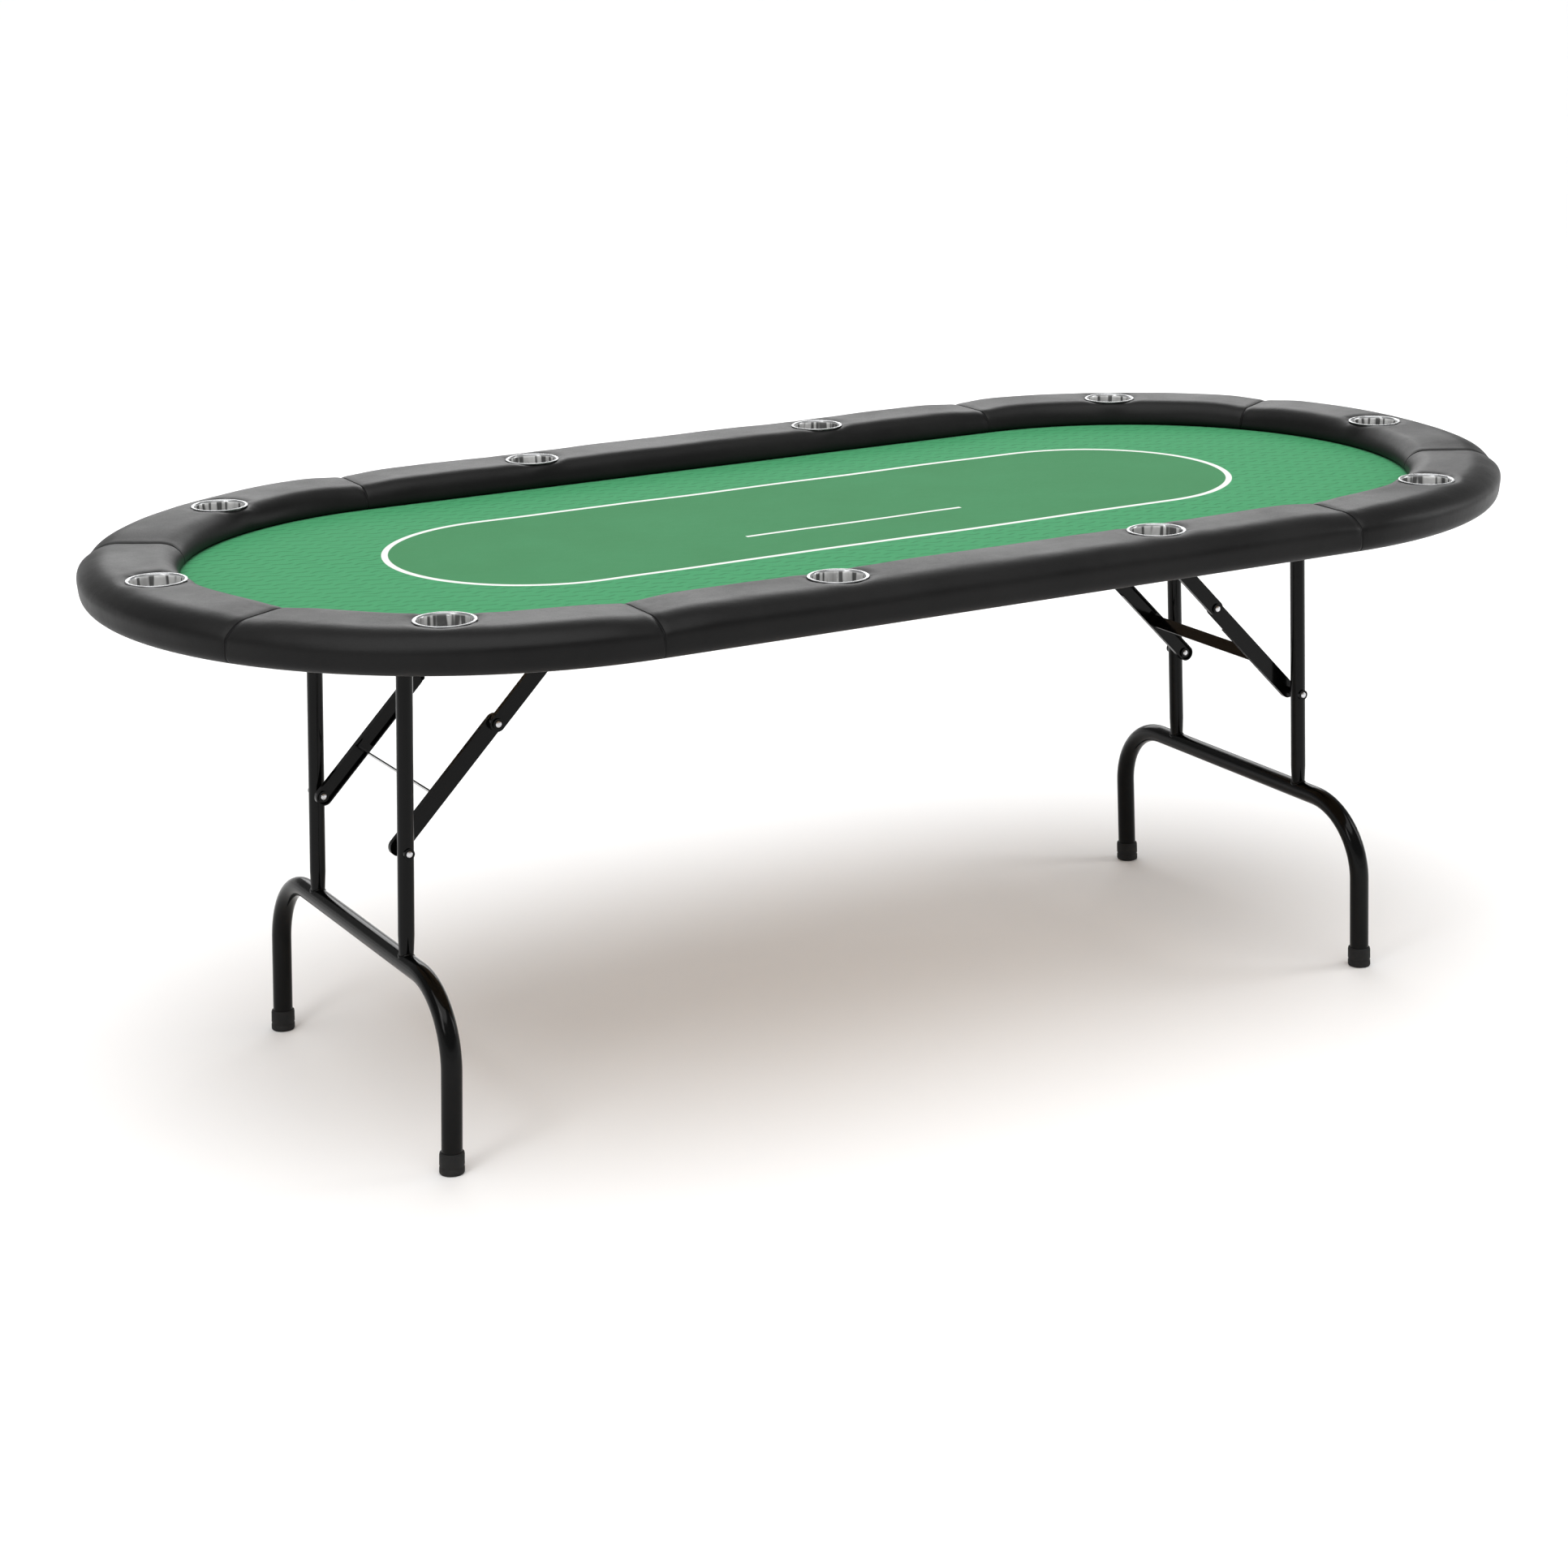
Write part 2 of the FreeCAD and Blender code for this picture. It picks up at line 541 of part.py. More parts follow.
def channel(start, end, depth, span, web_outside):
    """Pressed channel with round ends between two pins; the web is on the side away from the middle
    of the table if web_outside is true."""
    reach = end - start
    length = reach.Length

    def bar(radius, low, high):
        block = Part.makeBox(length, high - low, 2 * radius, Vector(0, low, -radius))
        ends = [tube_along_y(radius, 0, 0, low, high), tube_along_y(radius, length, 0, low, high)]
        return block.fuse(ends).removeSplitter()

    radius = depth / 2
    low, high = span
    pocket = (low, high - STRUT_SHEET) if web_outside else (low + STRUT_SHEET, high)
    shell = bar(radius, low, high).cut(bar(radius - STRUT_SHEET, *pocket))
    return shell, length


def seat_on(shape, start, end):
    """Carry a shape built along +X onto the line between two pins."""
    reach = end - start
    angle = math.degrees(math.atan2(-reach.z, reach.x))
    shape.rotate(Vector(), Y_AXIS, angle)
    shape.translate(start)
    return shape


def pin_hole(at, span, clearance):
    return tube_along_y(RIVET_RADIUS + clearance, at, 0, *span)


def lower_strut():
    """Channel from the leg rivet to the middle rivet, with a notched flange near the middle."""
    start = leg_pin()
    end = middle_pin()
    shell, length = channel(start, end, LOWER_STRUT_DEPTH, LOWER_STRUT_Y, True)
    low, high = LOWER_STRUT_Y
    notch_length = length - NOTCH_START + LOWER_STRUT_DEPTH
    web_face = high - STRUT_SHEET
    notch = Part.makeBox(notch_length, web_face - low, NOTCH_DEPTH,
                         Vector(NOTCH_START, low, LOWER_STRUT_DEPTH / 2 - NOTCH_DEPTH))
    shell = shell.cut(notch).cut(pin_hole(0, LOWER_STRUT_Y, PIN_CLEARANCE))
    return seat_on(shell.cut(pin_hole(length, LOWER_STRUT_Y, 0)), start, end)


def lower_rivet():
    """Inner half of the middle rivet, fixed in the lower strut."""
    start = leg_pin()
    end = middle_pin()
    length = (end - start).Length
    web_inside = LOWER_STRUT_Y[1] - STRUT_SHEET
    head = tube_along_y(RIVET_HEAD_RADIUS, length, 0, web_inside - RIVET_HEAD_HEIGHT, web_inside)
    shank = tube_along_y(RIVET_RADIUS, length, 0, web_inside, LOWER_STRUT_Y[1])
    return seat_on(head.fuse(shank).removeSplitter(), start, end)


def cross_plate():
    """Flat plate across the two lower struts, with a tab bent along each strut."""
    start = leg_pin()
    end = middle_pin()
    edge = LOWER_STRUT_Y[0]
    half_width = CROSS_PLATE_WIDTH / 2
    web = Part.makeBox(STRUT_SHEET, 2 * edge, CROSS_PLATE_WIDTH, Vector(CROSS_PLATE_AT, -edge, -half_width))
    tabs = [Part.makeBox(CROSS_PLATE_TAB, STRUT_SHEET, CROSS_PLATE_WIDTH, Vector(CROSS_PLATE_AT, y, -half_width))
            for y in (-edge, edge - STRUT_SHEET)]
    return seat_on(web.fuse(tabs).removeSplitter(), start, end)


def upper_strut():
    """Channel from the bracket rivet to the middle rivet."""
    start = Vector(BRACKET_X, 0, BRACKET_Z)
    end = middle_pin()
    shell, length = channel(start, end, UPPER_STRUT_DEPTH, UPPER_STRUT_Y, True)
    shell = shell.cut(pin_hole(0, UPPER_STRUT_Y, PIN_CLEARANCE))
    for at in (length, length - DOUBLER_RIVET):
        shell = shell.cut(pin_hole(at, UPPER_STRUT_Y, 0))
    return seat_on(shell, start, end)


def upper_rivets():
    """Outer half of the middle rivet with its spacer, and a second rivet further up the strut."""
    start = Vector(BRACKET_X, 0, BRACKET_Z)
    end = middle_pin()
    length = (end - start).Length
    outside = UPPER_STRUT_Y[1]
    web_inside = outside - STRUT_SHEET
    rivets = []
    for at in (length, length - DOUBLER_RIVET):
        shank = tube_along_y(RIVET_RADIUS, at, 0, web_inside, outside)
        outer_head = tube_along_y(RIVET_HEAD_RADIUS, at, 0, outside, outside + RIVET_HEAD_HEIGHT)
        inner_end = UPPER_STRUT_Y[0] if at == length else web_inside - RIVET_HEAD_HEIGHT
        collar = tube_along_y(RIVET_HEAD_RADIUS, at, 0, inner_end, web_inside)
        rivets.append(seat_on(shank.fuse([outer_head, collar]).removeSplitter(), start, end))
    return rivets


def build_braces():
    shapes = {}
    low = lower_strut()
    shapes["lower_strut_back"] = low
    shapes["lower_strut_front"] = low.mirror(Vector(), Y_AXIS)
    shapes["cross_plate"] = cross_plate()
    shapes["lower_rivets"] = mirrored_pair(lower_rivet())
    high = upper_strut()
    shapes["upper_strut_back"] = high
    shapes["upper_strut_front"] = high.mirror(Vector(), Y_AXIS)
    rivets = upper_rivets()
    shapes["upper_rivets"] = Part.makeCompound(rivets + [rivet.mirror(Vector(), Y_AXIS) for rivet in rivets])
    return shapes


def add_both_sides(shapes):
    """Keep each right-hand piece and its mirror image at the left."""
    for name, shape in shapes.items():
        add(name + "_right", shape)
        add(name + "_left", shape.mirror(Vector(), X_AXIS))


build_top()
for build in (build_hardware, build_leg_frame, build_braces):
    add_both_sides(build())

os.makedirs("parts", exist_ok=True)
for name, shape in PARTS.items():
    shape.exportStep("parts/%s.step" % name)
    print("%-22s valid %s  solids %d  volume %.0f mm3" % (name, shape.isValid(), len(shape.Solids), shape.Volume))
print(len(PARTS), "sub-parts")
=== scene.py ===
# %% [markdown]
# # An oval poker table
#
# The finished structure is already there: the board, the legs, the braces and the hardware come
# in as fixed nodes. This lesson adds what those plain solids can't show: the padded vinyl rail
# with its seams, the printed cloth, the pressed steel drink holders, the rubber feet, the welds,
# the rivet heads, the staples and the finishes. All measures are in metres. +X runs along the
# table, +Y across it and +Z up.

# %% Load the frame
import math
import random

import bmesh
import bpy
import numpy as np
from mathutils import Matrix, Vector, noise


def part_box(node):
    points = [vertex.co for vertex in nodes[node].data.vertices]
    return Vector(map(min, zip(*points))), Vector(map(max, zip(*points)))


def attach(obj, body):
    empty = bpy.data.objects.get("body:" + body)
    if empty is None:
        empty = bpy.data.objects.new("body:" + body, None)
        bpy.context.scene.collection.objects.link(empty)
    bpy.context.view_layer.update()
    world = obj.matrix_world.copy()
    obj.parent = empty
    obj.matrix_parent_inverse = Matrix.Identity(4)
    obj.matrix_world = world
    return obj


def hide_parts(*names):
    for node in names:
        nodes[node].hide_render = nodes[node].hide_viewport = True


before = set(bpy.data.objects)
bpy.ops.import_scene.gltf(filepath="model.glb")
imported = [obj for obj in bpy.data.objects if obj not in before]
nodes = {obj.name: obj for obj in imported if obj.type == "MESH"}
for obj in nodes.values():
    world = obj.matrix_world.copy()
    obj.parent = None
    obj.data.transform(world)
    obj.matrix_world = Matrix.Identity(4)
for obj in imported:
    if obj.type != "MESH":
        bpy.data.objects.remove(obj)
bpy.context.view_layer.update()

random.seed(7)

# %% [markdown]
# ## Measures taken from the frame
#
# A table has few driving sizes. The plan is a straight middle with a half circle at each end, so
# two numbers give every oval on it: half the straight length, and a distance out from the middle
# line. They come from the nodes' boxes, so the new pieces fit the frame without any nudging.

# %% Read the plan
board_low, board_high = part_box("base_board")
cloth_low, cloth_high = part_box("playing_cloth")
side_low, side_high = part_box("rail_cover_front")

half_straight = side_high.x
rail_outer = -side_low.y
rail_inner = -side_high.y
rail_bottom = side_low.z
rail_crown = side_high.z
board_top = board_high.z
board_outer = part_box("rail_base")[1].y
cloth_radius = cloth_high.y
cloth_bottom = cloth_low.z
cloth_top = cloth_high.z

cup_names = sorted(name for name in nodes if name.startswith("cup_holder"))
cup_places = []
for name in cup_names:
    low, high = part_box(name)
    cup_places.append((low + high) / 2)
cup_low, cup_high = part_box(cup_names[0])
flange_radius = (cup_high.x - cup_low.x) / 2
print("straight half", round(half_straight, 4))
print("rail from", round(rail_inner, 4), "to", round(rail_outer, 4))

# %% [markdown]
# ## Working by hand in code
#
# Edit mode operators act on whatever is selected. Two habits keep them predictable: deselect
# everything before adding a primitive, and pick faces or edges by where they are. These helpers
# do only that, so that each later cell can read like the steps of a modeller.

# %% Helpers for modelling
def deselect_all():
    if bpy.context.mode != "OBJECT":
        bpy.ops.object.mode_set(mode="OBJECT")
    bpy.ops.object.select_all(action="DESELECT")


def make_active(piece):
    """Select this piece alone and make it the active one."""
    deselect_all()
    piece.select_set(True)
    bpy.context.view_layer.objects.active = piece


def start(kind, name, **options):
    """Add a primitive, name it and go into edit mode with all of it selected."""
    deselect_all()
    getattr(bpy.ops.mesh, "primitive_%s_add" % kind)(**options)
    piece = bpy.context.active_object
    piece.name = name
    piece.data.name = name
    bpy.ops.object.transform_apply(location=True, rotation=True, scale=True)
    bpy.ops.object.mode_set(mode="EDIT")
    bpy.ops.mesh.select_all(action="SELECT")
    return piece


def pick(piece, kind, test):
    """Select the vertices, edges or faces whose middle passes the test."""
    bpy.ops.mesh.select_mode(type=kind)
    mesh = bmesh.from_edit_mesh(piece.data)
    groups = {"VERT": mesh.verts, "EDGE": mesh.edges, "FACE": mesh.faces}
    for group in groups.values():
        for part in group:
            part.select = False
    for part in groups[kind]:
        if kind == "VERT":
            middle = part.co
        elif kind == "EDGE":
            middle = (part.verts[0].co + part.verts[1].co) / 2
        else:
            middle = part.calc_center_median()
        if test(middle):
            part.select_set(True)
    mesh.select_flush_mode()
    bmesh.update_edit_mesh(piece.data)


def finish_edit(piece, smooth=35.0):
    """Leave edit mode with clean normals and smooth shading up to an angle."""
    bpy.ops.mesh.select_all(action="SELECT")
    bpy.ops.mesh.remove_doubles(threshold=1e-6)
    bpy.ops.mesh.normals_make_consistent(inside=False)
    make_active(piece)
    bpy.ops.object.shade_smooth_by_angle(angle=math.radians(smooth))
    return piece


def apply_modifier(piece, kind, **settings):
    make_active(piece)
    modifier = piece.modifiers.new(kind.lower(), kind)
    for key, value in settings.items():
        setattr(modifier, key, value)
    bpy.ops.object.modifier_apply(modifier=modifier.name)


def copy_of(piece, name, matrix):
    """A copy with its own mesh, placed through its vertices."""
    twin = piece.copy()
    twin.data = piece.data.copy()
    twin.name = name
    twin.data.name = name
    twin.data.transform(matrix)
    bpy.context.scene.collection.objects.link(twin)
    return twin


def joined(parts, name):
    deselect_all()
    for part in parts:
        part.select_set(True)
    bpy.context.view_layer.objects.active = parts[0]
    bpy.ops.object.join()
    parts[0].name = name
    parts[0].data.name = name
    return parts[0]


def triangles(piece):
    piece.data.calc_loop_triangles()
    return len(piece.data.loop_triangles)


# %% [markdown]
# ## Shader maths as plain sums
#
# A procedural finish is a sum of small patterns. Written as nodes it is hard to read, so this small
# class wraps a socket: + - * / on it add the Math nodes. Every other node comes from one method,
# which sets the node's own settings before it fills its sockets.

# %% A socket that can be used in sums
class Wire:
    def __init__(self, finish, socket):
        self.finish = finish
        self.socket = socket

    def maths(self, operation, *others):
        inputs = dict(enumerate((self,) + others))
        return self.finish.node("ShaderNodeMath", {"operation": operation}, inputs)

    def __add__(self, other):
        return self.maths("ADD", other)

    def __sub__(self, other):
        return self.maths("SUBTRACT", other)

    def __mul__(self, other):
        return self.maths("MULTIPLY", other)

    def __truediv__(self, other):
        return self.maths("DIVIDE", other)

    def __rsub__(self, other):
        return self.maths("MULTIPLY", -1.0) + other

    __radd__ = __add__
    __rmul__ = __mul__

    def absolute(self):
        return self.maths("ABSOLUTE")

    def sine(self):
        return self.maths("SINE")

    def root(self):
        return self.maths("SQRT")

    def at_least(self, other):
        return self.maths("MAXIMUM", other)

    def step(self, low, high):
        """0 below low, 1 above high, smooth between."""
        settings = {"interpolation_type": "SMOOTHSTEP"}
        inputs = {"Value": self, "From Min": low, "From Max": high, "To Min": 0.0, "To Max": 1.0}
        return self.finish.node("ShaderNodeMapRange", settings, inputs)


class Finish:
    """One material: a Principled shader with constants on its own sockets."""

    def __init__(self, name, **constants):
        self.material = bpy.data.materials.new(name)
        self.material.use_nodes = True
        self.tree = self.material.node_tree
        self.shader = self.tree.nodes["Principled BSDF"]
        for socket, value in constants.items():
            self.shader.inputs[socket.replace("_", " ")].default_value = value
        colour = constants.get("Base_Color", (0.5, 0.5, 0.5, 1.0))
        self.material.diffuse_color = colour

    def node(self, kind, settings=None, inputs=None, output=0):
        made = self.tree.nodes.new(kind)
        for key, value in (settings or {}).items():
            setattr(made, key, value)
        for key, value in (inputs or {}).items():
            if isinstance(value, Wire):
                self.tree.links.new(value.socket, made.inputs[key])
            else:
                made.inputs[key].default_value = value
        return Wire(self, made.outputs[output])

    def object_point(self):
        return self.node("ShaderNodeTexCoord", output="Object")

    def axes(self, point):
        return [self.node("ShaderNodeSeparateXYZ", None, {0: point}, axis) for axis in range(3)]

    def noise(self, point, scale, detail=2.0, roughness=0.5):
        inputs = {"Vector": point, "Scale": scale, "Detail": detail, "Roughness": roughness}
        return self.node("ShaderNodeTexNoise", None, inputs)

    def cells(self, point, scale, feature="F1", output="Distance"):
        inputs = {"Vector": point, "Scale": scale}
        return self.node("ShaderNodeTexVoronoi", {"feature": feature}, inputs, output)

    def mix(self, factor, first, second):
        """Colours mixed by a factor."""
        settings = {"data_type": "RGBA"}
        return self.node("ShaderNodeMix", settings, {0: factor, 6: first, 7: second}, 2)

    def bump(self, height, strength, distance, below=None):
        inputs = {"Height": height, "Strength": strength, "Distance": distance}
        if below is not None:
            inputs["Normal"] = below
        return self.node("ShaderNodeBump", None, inputs)

    def feed(self, socket, wire):
        self.tree.links.new(wire.socket, self.shader.inputs[socket])


def rgb(red, green, blue):
    return (red, green, blue, 1.0)


# %% [markdown]
# ## Finish: black vinyl
#
# Upholstery vinyl is a soft plastic skin embossed with a fine leather grain. Small cells about a
# millimetre wide make the grain, with finer pores among them. A slow noise varies the gloss where
# hands have rubbed it, and a low wide bump keeps long highlights from being ruler straight. The
# distance to the nearest seam is worked out too: it draws the seam as a thin, dark groove.

# %% Vinyl
panel_angle = math.pi / 3


def make_vinyl():
    vinyl = Finish("black_vinyl", Base_Color=rgb(0.014, 0.0137, 0.0135), Roughness=0.44)
    vinyl.shader.inputs["Specular IOR Level"].default_value = 0.15
    point = vinyl.object_point()
    wear = vinyl.noise(point, 5.0, 4.0, 0.6)
    dust = vinyl.noise(point, 60.0, 3.0, 0.6)
    grain = vinyl.cells(point, 720.0, "SMOOTH_F1")
    pores = vinyl.noise(point, 1500.0, 2.0, 0.7)
    worn = wear.step(0.35, 0.75)
    x, y, _ = vinyl.axes(point)
    beyond = (x.absolute() - half_straight).at_least(0.0)
    panels_round = y.maths("ARCTAN2", beyond) / panel_angle + 0.5
    off_seam = (panels_round - panels_round.maths("ROUND")).absolute() * panel_angle
    on_straight = (half_straight - x.absolute()).at_least(0.0)
    seam = off_seam * (beyond * beyond + y * y).root() + on_straight
    sewn = 1.0 - seam.step(0.0004, 0.0022)
    dark = rgb(0.0038, 0.0037, 0.0037)
    light = rgb(0.0085, 0.0083, 0.0082)
    skin = vinyl.mix(worn * 0.7 + dust * 0.3, dark, light)
    vinyl.feed("Base Color", vinyl.mix(sewn * 0.9, skin, rgb(0.002, 0.002, 0.002)))
    vinyl.feed("Roughness", worn * 0.09 + grain * 0.10 + dust * 0.05 + 0.33)
    slack = vinyl.bump(vinyl.noise(point, 26.0, 3.0, 0.55), 0.25, 0.0022)
    groove = vinyl.bump(1.0 - sewn, 0.8, 0.0020, slack)
    embossed = vinyl.bump(grain * 0.8 + pores * 0.3, 0.30, 0.00035, groove)
    vinyl.feed("Normal", embossed)
    return vinyl


black_vinyl = make_vinyl()
print("finish", black_vinyl.material.name)

# %% [markdown]
# ## Finish: printed speed cloth
#
# The cloth is a smooth woven polyester, green all over. A darker racetrack is printed in its
# middle, edged with a white line, and a short straight white line marks the place for the shared
# cards. An oval outline is the same sum as the table's plan: the distance from a line segment, less
# a radius. The outer field has rows of short, broken waves and the inner one a fine hatch. A slow
# noise bends the printed lines a little, as stretching does.

# %% Cloth layout
race_half_straight = 0.453
race_radius = 0.209
race_shift_x = 0.0165
race_shift_y = 0.031
line_width = 0.0090
card_line_half = 0.1755
card_line_y = -0.052
card_line_width = 0.0072
line_sway = 0.012
print_edge = 0.0007


def make_cloth():
    cloth = Finish("green_speed_cloth", Base_Color=rgb(0.052, 0.28, 0.12), Roughness=0.86)
    cloth.shader.inputs["Specular IOR Level"].default_value = 0.12
    cloth.shader.inputs["Sheen Weight"].default_value = 0.05
    cloth.shader.inputs["Sheen Roughness"].default_value = 0.42
    point = cloth.object_point()
    x, bare_y, _ = cloth.axes(point)
    y = bare_y + (cloth.noise(point, 4.5, 1.0, 0.4) - 0.5) * line_sway
    from_x = (x - race_shift_x).absolute() - race_half_straight
    beyond = from_x.at_least(0.0)
    across = y - race_shift_y
    edge = (beyond * beyond + across * across).root() - race_radius
    inside = 1.0 - edge.step(-0.0006, 0.0006)
    ring = 1.0 - edge.absolute().step(line_width / 2 - print_edge, line_width / 2 + print_edge)
    along = ((x - race_shift_x).absolute() - card_line_half).step(-0.0006, 0.0006)
    beside = ((y - card_line_y).absolute() - card_line_width / 2).step(-print_edge, print_edge)
    bar = (1.0 - along) * (1.0 - beside)
    white = ring.at_least(bar)

    warp = cloth.noise(point, 34.0, 2.0, 0.5)
    waves = (y * 450.0 + (x * 180.0).sine() * 1.3 + warp * 2.0).sine()
    breaks = (x * 140.0 + y * 225.0 + warp * 3.0).sine()
    dashes = waves.step(0.30, 0.85) * breaks.step(-0.5, 0.2)
    hatch = (x * 640.0 + y * 1150.0 + warp * 2.0).sine().step(0.0, 0.9)
    blotch = cloth.noise(point, 9.0, 4.0, 0.6)
    fibre = cloth.noise(point, 900.0, 2.0, 0.6)

    outer = cloth.mix(dashes * 0.95, rgb(0.052, 0.300, 0.124), rgb(0.030, 0.205, 0.080))
    inner = cloth.mix(hatch * 0.8, rgb(0.043, 0.212, 0.084), rgb(0.055, 0.232, 0.084))
    field = cloth.mix(inside, outer, inner)
    aged = cloth.mix(blotch.step(0.25, 0.85) * 0.22, field, rgb(0.066, 0.30, 0.135))
    fuzzy = cloth.mix(fibre.step(0.3, 0.8) * 0.16, aged, rgb(0.028, 0.17, 0.066))
    printed = cloth.mix(white * (fibre * 0.12 + 0.86), fuzzy, rgb(0.86, 0.86, 0.83))
    cloth.feed("Base Color", printed)
    cloth.feed("Roughness", 0.88 - white * 0.10 - dashes * 0.04)
    threads = (x * 5200.0).sine() * (y * 5200.0).sine()
    soft = cloth.bump(blotch + dashes * 0.12, 0.12, 0.0012)
    cloth.feed("Normal", cloth.bump(threads * 0.5 + fibre * 0.6, 0.28, 0.0003, soft))
    return cloth


speed_cloth = make_cloth()
race_length = 2 * (race_half_straight + race_radius)
print("racetrack", round(race_length, 3), "by", round(2 * race_radius, 3))

# %% [markdown]
# ## Finish: metals and rubber
#
# The legs are powder coated in black: a very dark base under a thin clear coat, with a faint
# orange-peel ripple. The drink holders are drawn from stainless sheet, whose fine lines run round
# the cup. Its wall is painted near white with broad dark bands down it, a painted reflection of
# the room, and its rim and floor are painted a darker grey, as painted shade. Zinc plating is a
# dull, slightly blotched silver. Rubber scatters everything and collects dust.

# %% Metals
def make_black_steel():
    steel = Finish("gloss_black_steel", Base_Color=rgb(0.0035, 0.0036, 0.0037), Roughness=0.2)
    steel.shader.inputs["Specular IOR Level"].default_value = 0.08
    steel.shader.inputs["Coat Weight"].default_value = 0.12
    steel.shader.inputs["Coat Roughness"].default_value = 0.07
    point = steel.object_point()
    peel = steel.noise(point, 330.0, 2.0, 0.5)
    handled = steel.noise(point, 14.0, 5.0, 0.65)
    specks = steel.cells(point, 210.0).step(0.02, 0.10)
    clean = rgb(0.0012, 0.0013, 0.0013)
    smudged = rgb(0.0036, 0.0038, 0.0038)
    steel.feed("Base Color", steel.mix(handled.step(0.4, 0.8) * 0.5, clean, smudged))
    steel.feed("Roughness", handled * 0.13 + (1.0 - specks) * 0.12 + 0.11)
    steel.feed("Normal", steel.bump(peel, 0.10, 0.0006))
    return steel


def make_stainless():
    silver = rgb(0.85, 0.85, 0.84)
    steel = Finish("drawn_stainless", Base_Color=silver, Metallic=0.72, Roughness=0.25)
    place = steel.node("ShaderNodeAttribute", {"attribute_name": "cup_place"}, output="Vector")
    x, y, height = steel.axes(place)
    radius = (x * x + y * y).root().at_least(0.0005)
    ring = {0: x / radius * 1.5, 1: y / radius * 1.5, 2: height * 900.0 + radius * 900.0}
    lines = steel.noise(steel.node("ShaderNodeCombineXYZ", None, ring), 1.0, 3.0)
    bars = {0: x / radius * 4.0, 1: y / radius * 4.0, 2: height * 9.0}
    bands = steel.noise(steel.node("ShaderNodeCombineXYZ", None, bars), 1.0, 1.0)
    point = steel.object_point()
    smear = steel.noise(point, 40.0, 4.0, 0.6)
    # The wall below the lip is painted near white, a painted reflection of the bright room. The rim
    # and the cup's floor are painted a darker grey, as painted shade: lit and shaded copies of one
    # steel.
    below_rim = 1.0 - height.step(cup_high.z - 0.004, cup_high.z - 0.0015)
    on_wall = below_rim * radius.step(0.030, 0.033)
    rim = steel.mix(smear.step(0.35, 0.8), rgb(0.38, 0.385, 0.39), rgb(0.30, 0.305, 0.31))
    painted_bright_wall_dim_rim = steel.mix(on_wall, rim, rgb(0.97, 0.97, 0.96))
    # The dark bands down the wall are painted reflections.
    painted_reflection_bands = bands.step(0.49, 0.57) * on_wall * 0.9
    steel.feed("Base Color", steel.mix(painted_reflection_bands, painted_bright_wall_dim_rim, rgb(0.10, 0.10, 0.10)))
    steel.feed("Roughness", lines * 0.10 + smear * 0.10 + 0.14)
    wavy = steel.bump(bands, 0.5, 0.0014)
    steel.feed("Normal", steel.bump(lines, 0.10, 0.0002, wavy))
    return steel


def make_zinc(name, shade, base_roughness):
    silver = rgb(shade, shade, shade * 1.02)
    zinc = Finish(name, Base_Color=silver, Metallic=1.0, Roughness=base_roughness)
    point = zinc.object_point()
    spangle = zinc.cells(point, 420.0, output="Color")
    patch, _, _ = zinc.axes(spangle)
    grime = zinc.noise(point, 120.0, 4.0, 0.6)
    light = rgb(shade * 1.1, shade * 1.1, shade * 1.13)
    dark = rgb(shade * 0.72, shade * 0.72, shade * 0.74)
    zinc.feed("Base Color", zinc.mix(patch * 0.5 + grime * 0.4, light, dark))
    zinc.feed("Roughness", patch * 0.12 + grime * 0.14 + (base_roughness - 0.10))
    zinc.feed("Normal", zinc.bump(grime, 0.12, 0.0003))
    return zinc


def make_rubber():
    rubber = Finish("black_rubber", Base_Color=rgb(0.008, 0.008, 0.008), Roughness=0.8)
    rubber.shader.inputs["Specular IOR Level"].default_value = 0.35
    point = rubber.object_point()
    _, _, z = rubber.axes(point)
    dust = rubber.noise(point, 90.0, 5.0, 0.65)
    scuffed = dust.step(0.45, 0.8) * (1.0 - z.step(0.004, 0.026))
    dusty = rgb(0.030, 0.029, 0.027)
    rubber.feed("Base Color", rubber.mix(scuffed * 0.6, rgb(0.006, 0.006, 0.006), dusty))
    rubber.feed("Roughness", dust * 0.18 + 0.66)
    rubber.feed("Normal", rubber.bump(rubber.noise(point, 700.0, 2.0, 0.6), 0.25, 0.0004))
    return rubber


gloss_steel = make_black_steel()
stainless = make_stainless()
zinc_plate = make_zinc("zinc_plate", 0.50, 0.38)
zinc_bright = make_zinc("bright_zinc", 0.66, 0.26)
foot_rubber = make_rubber()
print("metals and rubber ready")

# %% [markdown]
# ## Finish: board, batten and foam
#
# Under the table the board is bare. Its face is a pale brown veneer whose grain runs along the
# table, so the noise is stretched: scaled down along X and up across Y. The battens' grain runs
# across the table. The foam only shows as a thin pale line, if at all.

# %% Wood and foam
def make_board(name, light, dark, along_x):
    wood = Finish(name, Base_Color=light, Roughness=0.62)
    point = wood.object_point()
    stretch = (3.0, 42.0, 42.0) if along_x else (42.0, 3.0, 42.0)
    settings = {"vector_type": "POINT"}
    laid = wood.node("ShaderNodeMapping", settings, {"Vector": point, "Scale": stretch})
    grain = wood.noise(laid, 1.0, 6.0, 0.62)
    pores = wood.noise(laid, 9.0, 3.0, 0.6)
    wide = wood.noise(point, 2.5, 3.0, 0.5)
    tone = grain.step(0.3, 0.72) * 0.65 + pores.step(0.5, 0.8) * 0.25 + wide * 0.2
    wood.feed("Base Color", wood.mix(tone, light, dark))
    wood.feed("Roughness", pores * 0.16 + 0.54)
    wood.feed("Normal", wood.bump(grain * 0.6 + pores * 0.5, 0.25, 0.0006))
    return wood


